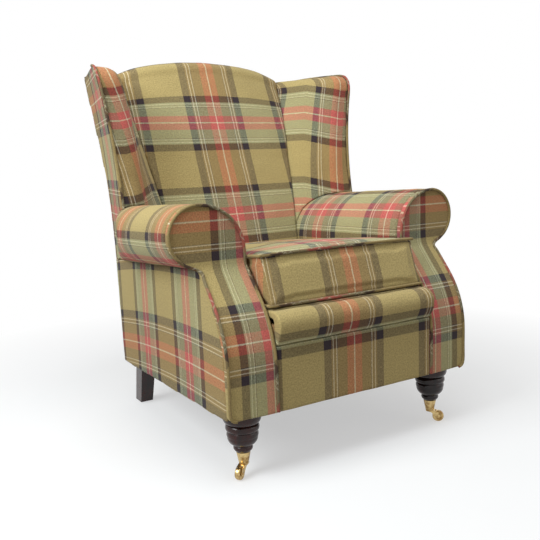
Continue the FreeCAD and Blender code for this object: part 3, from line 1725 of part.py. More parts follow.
def profile_sketch(body, name, plane, corners, bulges=None):
    """Closed sketch through corners given as Dim pairs, all bound to the sheet.

    bulges maps the edge after a corner to its arc: (radius Dim, +1 or -1 side).
    """
    bulges = bulges or {}
    sketch = body.newObject("Sketcher::SketchObject", name)
    sketch.AttachmentSupport = [(origin_plane(body, plane), "")]
    sketch.MapMode = "FlatFace"
    pairs = [(Dim.of(x), Dim.of(y)) for x, y in corners]
    count = len(pairs)
    for index in range(count):
        here = Vector(pairs[index][0].value, pairs[index][1].value, 0)
        there_pair = pairs[(index + 1) % count]
        there = Vector(there_pair[0].value, there_pair[1].value, 0)
        if index in bulges:
            radius, side = bulges[index]
            chord = there - here
            normal = Vector(chord.y, -chord.x, 0).normalize() * side
            half = chord.Length / 2
            rise = radius.value - math.sqrt(max(radius.value ** 2 - half * half, 0.0))
            middle = (here + there) * 0.5 + normal * rise
            arc = Part.Arc(here, middle, there)
            sketch.addGeometry(arc, False)
        else:
            sketch.addGeometry(Part.LineSegment(here, there), False)
    ends = []
    for index in range(count):
        geometry = sketch.Geometry[index]
        here = Vector(pairs[index][0].value, pairs[index][1].value, 0)
        forward = geometry.StartPoint.distanceToPoint(here) < 1e-5
        ends.append((1, 2) if forward else (2, 1))
    for index in range(count):
        following = (index + 1) % count
        sketch.addConstraint(
            Sketcher.Constraint("Coincident", index, ends[index][1], following, ends[following][0])
        )
    for index in range(count):
        for axis, kind in ((0, "DistanceX"), (1, "DistanceY")):
            value = pairs[index][axis]
            place = sketch.addConstraint(
                Sketcher.Constraint(kind, -1, 1, index, ends[index][0], value.value)
            )
            sketch.setExpression("Constraints[%d]" % place, value.text)
    for index, (radius, side) in bulges.items():
        place = sketch.addConstraint(Sketcher.Constraint("Radius", index, radius.value))
        sketch.setExpression("Constraints[%d]" % place, radius.text)
    return sketch


def turned_body(name, corners, bulges=None, plane="XZ_Plane", axis="V_Axis"):
    """A piece turned about its axis from a sketched half profile."""
    body = doc.addObject("PartDesign::Body", name)
    sketch = profile_sketch(body, name + "Profile", plane, corners, bulges)
    turn = body.newObject("PartDesign::Revolution", name + "Turned")
    turn.Profile = sketch
    turn.ReferenceAxis = (sketch, [axis])
    turn.Angle = 360
    sketch.Visibility = False
    body.Tip = turn
    return body


def place(obj, x, y, z, angle=0.0):
    """Bind a sub-part's position, and its turn about the vertical."""
    obj.Placement = Placement(Vector(0, 0, 0), Rotation(Vector(0, 0, 1), float(Dim.of(angle))))
    bind(obj, Placement__Base__x=x, Placement__Base__y=y, Placement__Base__z=z)
    bind(obj, Placement__Rotation__Angle=angle)


leg_y = -dim("frontReach") + dim("legSetback")
SIDES = (("left", -1, "leftCastorTurn"), ("right", 1, "rightCastorTurn"))


def front_leg_profile():
    """Corners and arcs of the turned leg, from its foot upward."""
    gap = dim("fitGap")
    spigot = dim("cupTopRadius") - dim("cupWall") - gap
    tip = dim("cupBottomRadius") - dim("cupWall") - gap
    floor = dim("cupBottomHeight") + dim("cupFloor") + gap
    rim = dim("cupTopHeight") + gap
    bore = dim("stemRadius") + gap
    bolt = dim("boltRadius") + dim("boltGap")
    bead_top = dim("legPlateLow") - 2
    corners = [
        (Dim.of(0), dim("cupBottomHeight") + dim("stemRise") + 1),
        (bore, dim("cupBottomHeight") + dim("stemRise") + 1),
        (bore, floor),
        (tip, floor),
        (spigot, rim),
        (dim("cupTopRadius") - 0.5, rim),
        (dim("legRingRadius") - 5, dim("legRingLow")),
        (dim("legRingRadius") - 3, dim("legNeckHeight") - 1.5),
        (dim("legNeckRadius"), dim("legNeckHeight")),
        (dim("legBulbRadius"), dim("legBulbHeight")),
        (dim("legGrooveRadius"), dim("legBeadLow")),
        (dim("legGrooveRadius"), bead_top),
        (dim("legPlateRadius") - dim("legPlateRound") * 0.5, dim("legPlateLow")),
        (dim("legPlateRadius") - dim("legPlateRound") * 0.2, dim("legTopHeight")),
        (bolt, dim("legTopHeight")),
        (bolt, dim("legTopHeight") - dim("boltReach") - 1),
        (Dim.of(0), dim("legTopHeight") - dim("boltReach") - 1),
    ]
    bulges = {
        6: ((dim("legNeckHeight") - dim("legRingLow")) * 0.62, 1),
        8: (dim("legBulbRadius") * 0.62, 1),
        9: ((dim("legBeadLow") - dim("legBulbHeight")) * 1.1, 1),
        10: ((bead_top - dim("legBeadLow")) * 0.62, 1),
        12: ((dim("legTopHeight") - dim("legPlateLow")) * 0.75, 1),
    }
    return corners, bulges


for side, sign, _ in SIDES:
    corners, bulges = front_leg_profile()
    leg = turned_body("FrontLeg" + side.title(), corners, bulges)
    place(leg, dim("legHalf") * sign, leg_y, 0)
    keep(leg, "front_leg_" + side)


def cup_profile():
    low, high = dim("cupBottomHeight"), dim("cupTopHeight")
    wall = dim("cupWall")
    bore = dim("stemRadius") + dim("fitGap")
    return [
        (bore, low),
        (dim("cupBottomRadius"), low),
        (dim("cupTopRadius"), high),
        (dim("cupTopRadius") - wall, high),
        (dim("cupBottomRadius") - wall, low + dim("cupFloor")),
        (bore, low + dim("cupFloor")),
    ]


for side, sign, _ in SIDES:
    cup = turned_body("CastorCup" + side.title(), cup_profile())
    place(cup, dim("legHalf") * sign, leg_y, 0)
    keep(cup, "castor_cup_" + side)


def castor_wheel_body(name):
    half = dim("wheelWidth") / 2
    bore = dim("axleRadius") + dim("fitGap")
    edge = dim("wheelRadius") - dim("wheelCrown")
    corners = [
        (bore, -half),
        (edge, -half),
        (dim("wheelRadius"), -half * 0.55),
        (dim("wheelRadius"), half * 0.55),
        (edge, half),
        (bore, half),
    ]
    return turned_body(name, corners, None, "XY_Plane", "V_Axis")


def along(sign, turn, reach):
    """Dims of a point at reach from the swivel axis, in the castor's direction."""
    angle = dim(turn)
    x = dim("legHalf") * sign
    cosine = Dim(math.cos(math.radians(angle.value)), "cos(%s * 1 deg)" % angle.text)
    sine = Dim(math.sin(math.radians(angle.value)), "sin(%s * 1 deg)" % angle.text)
    return x + reach * cosine, leg_y + reach * sine


for side, sign, turn in SIDES:
    wheel = castor_wheel_body("CastorWheel" + side.title())
    x, y = along(sign, turn, dim("trail"))
    place(wheel, x, y, dim("wheelRadius"), dim(turn))
    keep(wheel, "castor_wheel_" + side)


def castor_horn(side, sign, turn):
    """Brass horn: swivel disc and stem over two cheeks that hold the axle."""
    body = doc.addObject("PartDesign::Body", "Horn" + side.title())
    top = dim("cupBottomHeight") - dim("fitGap")
    low = top - dim("hornDiscHeight")
    disc = dim("hornDiscRadius")
    trail = dim("trail")
    corners = [
        (-disc * 0.9, top - 0.3),
        (disc * 0.75, top - 0.3),
        (trail + 2, dim("wheelRadius") + 11),
        (trail + 7, dim("wheelRadius")),
        (trail + 3, dim("wheelRadius") - 6),
        (trail - 4, dim("wheelRadius") - 6),
        (trail - 12, dim("wheelRadius") + 5),
        (disc * 0.3, low - 3),
        (-disc * 0.9, low),
    ]
    sketch = profile_sketch(body, "HornProfile" + side, "XZ_Plane", corners)
    cheek = body.newObject("PartDesign::Pad", "HornBlock" + side)
    cheek.Profile = sketch
    cheek.Midplane = True
    cheek.setExpression("Length", dim("hornWidth").text)
    hollow = body.newObject("Sketcher::SketchObject", "HornHollow" + side)
    hollow.AttachmentSupport = [(origin_plane(body, "XZ_Plane"), "")]
    hollow.MapMode = "FlatFace"
    round_hole(hollow, trail, dim("wheelRadius"), dim("wheelRadius") + dim("wheelGap") + 1)
    pocket = body.newObject("PartDesign::Pocket", "HornWheelRoom" + side)
    pocket.Profile = hollow
    pocket.Midplane = True
    pocket.setExpression("Length", (dim("wheelWidth") + dim("wheelGap") * 2).text)
    eye = body.newObject("Sketcher::SketchObject", "HornEye" + side)
    eye.AttachmentSupport = [(origin_plane(body, "XZ_Plane"), "")]
    eye.MapMode = "FlatFace"
    round_hole(eye, trail, dim("wheelRadius"), dim("axleRadius") + 0.05)
    bore = body.newObject("PartDesign::Pocket", "HornBore" + side)
    bore.Profile = eye
    bore.Midplane = True
    bore.setExpression("Length", (dim("hornWidth") + 4).text)
    spin = profile_sketch(
        body,
        "HornSpin" + side,
        "XZ_Plane",
        [
            (Dim.of(0), low),
            (disc, low),
            (disc, top),
            (dim("stemRadius"), top),
            (dim("stemRadius"), dim("cupBottomHeight") + dim("stemRise")),
            (Dim.of(0), dim("cupBottomHeight") + dim("stemRise")),
        ],
    )
    turned = body.newObject("PartDesign::Revolution", "HornStem" + side)
    turned.Profile = spin
    turned.ReferenceAxis = (spin, ["V_Axis"])
    turned.Angle = 360
    body.Tip = turned
    place(body, dim("legHalf") * sign, leg_y, 0, dim(turn))
    return keep(body, "castor_horn_" + side)


def round_hole(sketch, x, y, radius):
    """One circle bound to the sheet by its centre and radius."""
    sketch.addGeometry(Part.Circle(Vector(x.value, y.value, 0), Vector(0, 0, 1), radius.value), False)
    for kind, value in (("DistanceX", x), ("DistanceY", y)):
        number = sketch.addConstraint(Sketcher.Constraint(kind, -1, 1, 0, 3, value.value))
        sketch.setExpression("Constraints[%d]" % number, value.text)
    number = sketch.addConstraint(Sketcher.Constraint("Radius", 0, radius.value))
    sketch.setExpression("Constraints[%d]" % number, radius.text)


for side, sign, turn in SIDES:
    castor_horn(side, sign, turn)


def castor_axle(side, sign, turn):
    axle = doc.addObject("Part::Cylinder", "Axle" + side.title())
    bind(axle, Radius=dim("axleRadius"), Height=dim("axleLength"))
    angle = dim(turn)
    x, y = along(sign, turn, dim("trail"))
    half = dim("axleLength") / 2
    cosine = Dim(math.cos(math.radians(angle.value)), "cos(%s * 1 deg)" % angle.text)
    sine = Dim(math.sin(math.radians(angle.value)), "sin(%s * 1 deg)" % angle.text)
    heading = Rotation(Vector(0, 0, 1), angle.value).multiply(Rotation(Vector(1, 0, 0), 90))
    axle.Placement = Placement(Vector(0, 0, 0), heading)
    bind(axle, Placement__Base__x=x - half * sine, Placement__Base__y=y + half * cosine)
    bind(axle, Placement__Base__z=dim("wheelRadius"))
    return keep(axle, "castor_axle_" + side)


for side, sign, turn in SIDES:
    castor_axle(side, sign, turn)

# Bolts, rear legs and glides

bolt_shapes = []
for x, y, z in ((size("legHalf"), LEG_Y, size("legTopHeight")),
                (REAR_BOLT_X, REAR_BOLT_Y, size("rearLegTop"))):
    reach = size("boltReach")
    shank = Part.makeCylinder(size("boltRadius"), 2 * reach, Vector(x, y, z - reach))
    bolt_shapes += [shank, mirrored(shank)]
solid_node("leg_bolts", Part.makeCompound(bolt_shapes))

rear_leg = rear_leg_shape().cut(
    Part.makeCylinder(
        size("boltRadius") + size("boltGap"),
        size("boltReach") + 20,
        Vector(REAR_BOLT_X, REAR_BOLT_Y, size("rearLegTop") - size("boltReach") - size("boltGap")),
    )
)
pair_node("rear_leg", rear_leg.Solids[0])

glides = []
glide_x = size("rearLegOuterFoot") - size("rearLegWidthFoot") / 2
glide_y = size("rearLegFrontFoot") + size("rearLegDepthFoot") / 2
for sign in (1, -1):
    glides.append(
        Part.makeCylinder(size("glideRadius"), size("glideHeight"), Vector(sign * glide_x, glide_y, 0))
    )
solid_node("rear_glides", Part.makeCompound(glides))

# Check every object and write the parts

doc.recompute()
faults = []
for obj in doc.Objects:
    if "Invalid" in obj.State or "Error" in obj.State:
        faults.append("%s: %s" % (obj.Name, obj.State))
for obj in nodes:
    shape = obj.Shape
    if shape.isNull() or not shape.isValid() or not shape.Solids or shape.Volume <= 0:
        faults.append("%s: no valid solid" % obj.Label)
if faults:
    raise RuntimeError("; ".join(faults))
os.makedirs("parts", exist_ok=True)
for obj in nodes:
    obj.Shape.exportStep(os.path.join("parts", obj.Label + ".step"))
    box = obj.Shape.BoundBox
    print("%-22s %8.1f cm3  x %7.1f %7.1f  y %7.1f %7.1f  z %7.1f %7.1f  solids %d" % (
        obj.Label, obj.Shape.Volume / 1000, box.XMin, box.XMax, box.YMin, box.YMax,
        box.ZMin, box.ZMax, len(obj.Shape.Solids)))
print(len(nodes), "nodes")
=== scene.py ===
"""Fireside chair with wings: the dressed model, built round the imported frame.

Metres, +Z up, the chair faces -Y and +X is the viewer's right. Every soft node of
the frame is replaced by an upholstered piece that carries tartan cloth, laid piece
by piece as an upholsterer cuts it. Wood and brass keep their frame shapes.
"""

from __future__ import annotations

import json
import logging
import math
from dataclasses import dataclass, field
from enum import Enum
from typing import Callable, Sequence

import bmesh
import bpy
import numpy as np
from mathutils import Matrix, Vector

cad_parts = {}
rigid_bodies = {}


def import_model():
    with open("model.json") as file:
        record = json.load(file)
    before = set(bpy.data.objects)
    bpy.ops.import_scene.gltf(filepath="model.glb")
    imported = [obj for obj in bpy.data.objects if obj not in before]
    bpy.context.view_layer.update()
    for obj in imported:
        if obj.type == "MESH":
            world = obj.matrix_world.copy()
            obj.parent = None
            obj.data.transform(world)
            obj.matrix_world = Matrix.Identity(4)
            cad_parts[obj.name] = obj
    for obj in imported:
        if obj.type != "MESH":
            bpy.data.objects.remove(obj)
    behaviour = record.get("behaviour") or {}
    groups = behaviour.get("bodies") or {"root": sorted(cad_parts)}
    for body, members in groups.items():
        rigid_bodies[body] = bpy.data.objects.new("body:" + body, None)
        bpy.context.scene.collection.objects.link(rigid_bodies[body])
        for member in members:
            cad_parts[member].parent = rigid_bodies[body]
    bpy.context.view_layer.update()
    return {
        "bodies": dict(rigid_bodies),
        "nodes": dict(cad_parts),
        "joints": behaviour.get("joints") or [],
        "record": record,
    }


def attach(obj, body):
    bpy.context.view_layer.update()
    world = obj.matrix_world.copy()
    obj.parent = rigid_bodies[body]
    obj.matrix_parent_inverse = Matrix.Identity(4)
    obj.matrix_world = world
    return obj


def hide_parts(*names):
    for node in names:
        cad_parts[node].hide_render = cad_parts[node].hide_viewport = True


LOG = logging.getLogger("fireside_chair")
Array = np.ndarray
Lay = Callable[[Array, Array], tuple[Array, Array]]


# Curves that the chair is built on


@dataclass(frozen=True)
class Bow:
    """Circle through three marks, each a (reach, height) pair."""

    low: tuple[float, float]
    middle: tuple[float, float]
    high: tuple[float, float]

    def reach(self, z: Array) -> Array:
        """Reach of the bow at heights z.

        Args:
            z: heights in metres.

        Returns:
            The reach at each height.
        """
        (ax, ay), (bx, by), (cx, cy) = self.low, self.middle, self.high
        twice = 2 * (ax * (by - cy) + bx * (cy - ay) + cx * (ay - by))
        square_a, square_b, square_c = ax**2 + ay**2, bx**2 + by**2, cx**2 + cy**2
        mid_x = (square_a * (by - cy) + square_b * (cy - ay) + square_c * (ay - by)) / twice
        mid_y = (square_a * (cx - bx) + square_b * (ax - cx) + square_c * (bx - ax)) / twice
        radius = math.hypot(ax - mid_x, ay - mid_y)
        side = 1.0 if mid_x < bx else -1.0
        rise = np.clip(np.asarray(z, float), ay, cy) - mid_y
        return mid_x + side * np.sqrt(np.maximum(radius**2 - rise**2, 0.0))


def quadratic(marks: Sequence[tuple[float, float]], z: Array) -> Array:
    """Smooth value through three (height, value) marks.

    Args:
        marks: three (height, value) pairs.
        z: heights to read.

    Returns:
        The value at each height.
    """
    (z0, v0), (z1, v1), (z2, v2) = marks
    return (
        v0 * (z - z1) * (z - z2) / ((z0 - z1) * (z0 - z2))
        + v1 * (z - z0) * (z - z2) / ((z1 - z0) * (z1 - z2))
        + v2 * (z - z0) * (z - z1) / ((z2 - z0) * (z2 - z1))
    )


def along_line(points: Array, line: Array) -> Array:
    """Distance along a polyline of the spot nearest to each point.

    Args:
        points: (n, 2) places.
        line: (m, 2) corners of the polyline.

    Returns:
        The n distances from the polyline's start.
    """
    starts, runs = line[:-1], np.diff(line, axis=0)
    lengths = np.linalg.norm(runs, axis=1)
    offsets = np.concatenate([[0.0], np.cumsum(lengths)[:-1]])
    best = np.full(len(points), np.inf)
    found = np.zeros(len(points))
    for start, run, length, offset in zip(starts, runs, lengths, offsets):
        share = np.clip((points - start) @ run / length**2, 0.0, 1.0)
        gap = np.linalg.norm(points - start - share[:, None] * run, axis=1)
        nearer = gap < best
        best[nearer] = gap[nearer]
        found[nearer] = offset + share[nearer] * length
    return found


@dataclass(frozen=True)
class BackLines:
    """The padded back: its front surface, sides and crest."""

    half: float = 0.212
    lean_height: float = 0.490
    lean: float = math.tan(math.radians(7.9))
    crown: float = 0.020
    crest: float = 1.036
    shoulder_drop: float = 0.017
    end_drop: float = 0.050
    join: float = 0.728
    lower: Bow = Bow((0.095, 0.330), (0.137, 0.520), (0.213, 0.728))
    upper: Bow = Bow((0.213, 0.728), (0.258, 0.852), (0.316, 1.002))
    over_crest: tuple[tuple[float, float], ...] = (
        (0.326, 1.022),
        (0.352, 1.036),
        (0.395, 1.034),
        (0.43, 1.018),
    )
    steps: int = 60
    crest_foot: float = 0.852
    crest_rise: float = 0.150

    def side(self, z: Array) -> Array:
        """Half width of the back at height z."""
        return self.half + self.lean * np.maximum(z - self.lean_height, 0.0)

    def setback(self, x: Array) -> Array:
        """How far the surface lies behind its middle at x."""
        return self.crown * (x / self.side(self.join)) ** 2

    def front(self, z: Array) -> Array:
        """Front surface at the middle at height z."""
        return np.where(z <= self.join, self.lower.reach(z), self.upper.reach(z))

    def drop(self, x: Array) -> Array:
        """Fall of the crest at x."""
        share = np.abs(x) / self.side(self.crest)
        slope = 3 * self.shoulder_drop
        rest = np.clip((share - 2 / 3) * 3, 0.0, 1.0)
        outer = self.shoulder_drop + slope * (share - 2 / 3)
        outer = outer + (self.end_drop - self.shoulder_drop - slope / 3) * rest**2
        return np.where(share <= 2 / 3, self.shoulder_drop * (1.5 * share) ** 2, outer)

    def profile(self) -> Array:
        """Section at the middle, from the seat over the crest, as (y, z) pairs."""
        heights = np.linspace(self.lower.low[1], self.upper.high[1], self.steps)
        rows = [(float(self.front(z)), float(z)) for z in heights]
        return np.array([*rows, *self.over_crest])

    def climb(self, z: Array) -> Array:
        """Length of cloth up the back to height z."""
        line = self.profile()
        steps = np.linalg.norm(np.diff(line, axis=0), axis=1)
        lengths = np.concatenate([[0.0], np.cumsum(steps)])
        last = self.steps + 1
        return np.interp(z, line[:last, 1], lengths[:last])


@dataclass(frozen=True)
class WingLines:
    """The right wing in plan at any height."""

    heights: tuple[float, float, float] = (0.590, 0.775, 0.940)
    halves: tuple[float, float, float] = (0.386, 0.393, 0.415)
    reaches: tuple[float, float, float] = (0.075, 0.104, 0.118)
    top: float = 0.985
    top_radius: float = 0.046
    thickness: float = 0.080
    nose_radius: float = 0.038
    skin: float = 0.0056
    seam_half: float = 0.364
    seam_height: float = 0.470
    rear_low: float = 0.341
    rear_top: float = 0.355
    run: float = 0.30

    def inset(self, z: Array) -> Array:
        """How far the rounded top has come in at height z."""
        rise = np.clip(z - (self.top - self.top_radius), 0.0, self.top_radius)
        return self.top_radius - np.sqrt(self.top_radius**2 - rise**2)

    def nose(self, z: Array) -> tuple[Array, Array]:
        """Outer front corner at height z as x and y."""
        z = np.asarray(z, float)
        x = quadratic(list(zip(self.heights, self.halves)), z)
        y = quadratic(list(zip(self.heights, self.reaches)), z)
        share = np.clip((self.heights[0] - z) / (self.heights[0] - self.seam_height), 0.0, 1.0)
        low_x = self.halves[0] + (self.seam_half - self.halves[0]) * share
        below = z < self.heights[0]
        x, y = np.where(below, low_x, x), np.where(below, self.reaches[0], y)
        inset = self.inset(z)
        return x + (self.rear_x(z) - x) * inset / self.run, y + inset

    def rear_x(self, z: Array) -> Array:
        """Outer rear corner from the middle at height z."""
        low, high = self.heights[0], self.top
        share = np.clip((z - low) / (high - low), 0.0, 1.0)
        return self.rear_low + (self.rear_top - self.rear_low) * share**2

    def wrap(self, x: Array, y: Array, z: Array) -> Array:
        """Length of cloth from the outer front edge, round the nose and inwards."""
        nose_x, nose_y = self.nose(z)
        inset = self.inset(z)
        inner = nose_x - self.thickness + inset
        radius = self.nose_radius * (1 - 0.8 * inset / self.thickness)
        flat = nose_x - self.skin - inner - radius
        mid_x, mid_y = inner + radius, nose_y + radius
        turn = np.arctan2(mid_x - x, mid_y - y)
        turn = np.clip(turn, 0.0, math.pi / 2)
        face = nose_x - self.skin - x
        bend = flat + radius * turn
        inside = flat + radius * math.pi / 2 + np.hypot(x - inner, y - mid_y)
        return np.where(x > mid_x, face, np.where(y > mid_y, inside, bend))


@dataclass(frozen=True)
class ArmLines:
    """The right arm: a roll on an upright pad, tapering to the rear."""

    front: float = -0.304
    rear: float = 0.255
    taper_end: float = 0.125
    centre: float = 0.349
    rear_centre: float = 0.347
    top: float = 0.628
    top_drop: float = 0.024
    radius: float = 0.073
    rear_radius: float = 0.078
    inner: float = 0.235
    inner_rear: float = 0.2125
    neck: float = 83.0

    def section(self, y: Array) -> tuple[Array, Array, Array, Array]:
        """Roll centre, top, outer radius and inner shoulder at y."""
        share = (np.asarray(y, float) - self.front) / (self.rear - self.front)
        taper = np.clip((y - self.front) / (self.taper_end - self.front), 0.0, 1.0)
        centre = self.centre + (self.rear_centre - self.centre) * share
        top = self.top - self.top_drop * share
        radius = self.radius + (self.rear_radius - self.radius) * share
        inner = self.inner + (self.inner_rear - self.inner) * taper
        return centre, top, radius, centre - inner

    def wrap(self, x: Array, y: Array, z: Array) -> Array:
        """Length of cloth round the roll, outwards from its top."""
        centre, top, radius, shoulder = self.section(y)
        out = radius * np.arctan2(x - centre, z - top + radius)
        spring = top - shoulder
        turn = np.clip(np.arctan2(centre - x, z - spring), 0.0, math.pi / 2)
        over = -shoulder * turn
        inside = -(shoulder * math.pi / 2 + spring - z)
        return np.where(x >= centre, out, np.where(z >= spring, over, inside))

    def roll(self, angle: float, grow: float = 0.0) -> tuple[float, float]:
        """Front section's outline at an angle from +X as (x, z)."""
        turn = math.radians(angle)
        radius = self.centre - self.inner if angle > 90 else self.radius
        reach = radius + grow
        return self.centre + reach * math.cos(turn), self.top - radius + reach * math.sin(turn)


@dataclass(frozen=True)
class FacingLines:
    """Front line of the arm's facing, turned a little outwards."""

    front: float = -0.437
    scroll: float = -0.320
    knee: float = 0.345
    knee_bend: float = 0.085
    neck: float = 0.484
    inner_foot: float = 0.229
    outer: float = 0.353
    foot: float = 0.157
    skew: float = math.tan(math.radians(2.0))

    def rise(self, z: Array) -> tuple[Array, Array]:
        """Set-back of the front line at height z, and the sine of its slope there."""
        lean = math.atan2(self.scroll - self.front, self.neck - self.knee)
        radius = self.knee_bend / math.tan(lean / 2)
        start = self.knee - self.knee_bend
        bent = np.clip(z - start, 0.0, radius * math.sin(lean))
        beyond = np.clip(z, start + radius * math.sin(lean), self.neck)
        beyond = beyond - start - radius * math.sin(lean)
        back = radius - np.sqrt(radius**2 - bent**2) + beyond * math.tan(lean)
        return back, bent / radius

    def reach(self, x: float, z: float) -> float:
        """Front surface at x and z."""
        return self.front + float(self.rise(z)[0]) + self.skew * (x - self.inner_foot)

    def climb(self, z: Array) -> Array:
        """Length of cloth up the facing to height z."""
        heights = np.linspace(self.foot, self.neck, 80)
        line = np.stack([self.rise(heights)[0], heights], 1)
        steps = np.linalg.norm(np.diff(line, axis=0), axis=1)
        lengths = self.foot + np.concatenate([[0.0], np.cumsum(steps)])
        return np.interp(z, heights, lengths) + np.maximum(z - self.neck, 0.0)


BACK = BackLines()
WING = WingLines()
ARM = ArmLines()
FACING = FacingLines()


# Colours and shader groups


def srgb(red: int, green: int, blue: int) -> tuple[float, float, float, float]:
    """A screen colour as linear light.

    Args:
        red: 0 to 255.
        green: 0 to 255.
        blue: 0 to 255.

    Returns:
        Red, green, blue and alpha.
    """
    parts = []
    for part in (red, green, blue):
        share = part / 255
        parts.append(share / 12.92 if share <= 0.04045 else ((share + 0.055) / 1.055) ** 2.4)
    return (*parts, 1.0)


class Yarn(Enum):
    """The yarns of the tartan."""

    MUSTARD = "mustard"
    DARK = "dark"
    CREAM = "cream"
    GREEN = "green"
    RED = "red"


@dataclass(frozen=True)
class Sett:
    """Order and widths of the stripes, from the red middle to the mustard middle."""

    repeat: float = 0.316
    soft: float = 0.0006
    bands: tuple[tuple[float, Yarn], ...] = (
        (0.0, Yarn.CREAM),
        (0.0018, Yarn.RED),
        (0.0240, Yarn.GREEN),
        (0.0540, Yarn.DARK),
        (0.0558, Yarn.CREAM),
        (0.0584, Yarn.GREEN),
        (0.0662, Yarn.CREAM),
        (0.0688, Yarn.GREEN),
        (0.0735, Yarn.DARK),
        (0.0960, Yarn.MUSTARD),
    )
    warp: dict[Yarn, tuple[int, int, int]] = field(
        default_factory=lambda: {
            Yarn.MUSTARD: (177, 157, 102),
            Yarn.DARK: (58, 40, 44),
            Yarn.CREAM: (228, 212, 182),
            Yarn.GREEN: (132, 100, 60),
            Yarn.RED: (192, 88, 66),
        }
    )
    weft: dict[Yarn, tuple[int, int, int]] = field(
        default_factory=lambda: {
            Yarn.MUSTARD: (177, 157, 104),
            Yarn.DARK: (50, 48, 52),
            Yarn.CREAM: (218, 222, 186),
            Yarn.GREEN: (158, 164, 130),
            Yarn.RED: (202, 108, 110),
        }
    )

    def stops(self, yarns: dict[Yarn, tuple[int, int, int]]) -> list[tuple[float, tuple]]:
        """Ramp positions and colours over half a repeat, with soft edges."""
        half = self.repeat / 2
        rows = [(0.0, srgb(*yarns[self.bands[0][1]]))]
        for (_, before), (edge, yarn) in zip(self.bands, self.bands[1:]):
            rows.append(((edge - self.soft) / half, srgb(*yarns[before])))
            rows.append(((edge + self.soft) / half, srgb(*yarns[yarn])))
        return rows


class NodeTree:
    """Small helper that places and joins shader nodes in one tree."""

    def __init__(self, tree: bpy.types.NodeTree) -> None:
        """Keep the tree that nodes go into."""
        self.tree = tree
        self.column = 0

    def add(self, kind: str, **settings: object) -> bpy.types.Node:
        """Add a node and set its properties or its inputs' values.

        Args:
            kind: the node's type name.
            settings: properties, or inputs named with in_ and their number.

        Returns:
            The new node.
        """
        node = self.tree.nodes.new(kind)
        node.location = (self.column * 180, 0)
        self.column += 1
        for name, value in settings.items():
            if name.startswith("in_"):
                self.feed(value, node.inputs[int(name[3:])])
            else:
                setattr(node, name, value)
        return node

    def feed(self, value: object, socket: bpy.types.NodeSocket) -> None:
        """Link an output to a socket, or set the socket's value."""
        if isinstance(value, bpy.types.NodeSocket):
            self.tree.links.new(value, socket)
        else:
            socket.default_value = value

    def maths(self, operation: str, first: object, second: object = 0.0) -> bpy.types.NodeSocket:
        """Result of one arithmetic step."""
        node = self.add("ShaderNodeMath", operation=operation, in_0=first, in_1=second)
        return node.outputs[0]

    def ramp(self, value: object, stops: Sequence[tuple]) -> bpy.types.NodeSocket:
        """Colour ramp through stops."""
        node = self.add("ShaderNodeValToRGB", in_0=value)
        ramp = node.color_ramp
        while len(ramp.elements) < len(stops):
            ramp.elements.new(1.0)
        for element, (place, colour) in zip(ramp.elements, stops):
            element.position = place
        for element, (place, colour) in zip(ramp.elements, stops):
            element.color = colour
        return node.outputs[0]

    def noise(self, vector: object, scale: float, detail: float = 2.0) -> bpy.types.NodeSocket:
        """Grey noise over a vector."""
        node = self.add("ShaderNodeTexNoise")
        self.feed(vector, node.inputs["Vector"])
        node.inputs["Scale"].default_value = scale
        node.inputs["Detail"].default_value = detail
        return node.outputs[0]

    def relief(self, height: object, strength: float, depth: float, shader: bpy.types.Node) -> None:
        """Bump the shader's normal by a height, to a depth in metres."""
        bump = self.add("ShaderNodeBump")
        bump.inputs["Strength"].default_value = strength
        bump.inputs["Distance"].default_value = depth
        self.feed(height, bump.inputs["Height"])
        self.feed(bump.outputs[0], shader.inputs["Normal"])

    def blend(
        self, kind: str, share: object, first: object, second: object
    ) -> bpy.types.NodeSocket:
        """Mix of two colours."""
        node = self.add("ShaderNodeMix", data_type="RGBA", blend_type=kind)
        self.feed(share, node.inputs[0])
        self.feed(first, node.inputs[6])
        self.feed(second, node.inputs[7])
        return node.outputs[2]


def new_group(name: str, inputs: Sequence[tuple], outputs: Sequence[tuple]) -> tuple:
    """Start a shader node group with named sockets.

    Args:
        name: the group's name.
        inputs: (name, socket type, value) of each input.
        outputs: (name, socket type) of each output.

    Returns:
        The group, its helper, and its input and output nodes.
    """
    group = bpy.data.node_groups.new(name, "ShaderNodeTree")
    for label, kind, value in inputs:
        socket = group.interface.new_socket(label, in_out="INPUT", socket_type=kind)
        if value is not None:
            socket.default_value = value
    for label, kind in outputs:
        group.interface.new_socket(label, in_out="OUTPUT", socket_type=kind)
    tree = NodeTree(group)
    return group, tree, tree.add("NodeGroupInput"), tree.add("NodeGroupOutput")


FLOAT, COLOUR, VECTOR = "NodeSocketFloat", "NodeSocketColor", "NodeSocketVector"


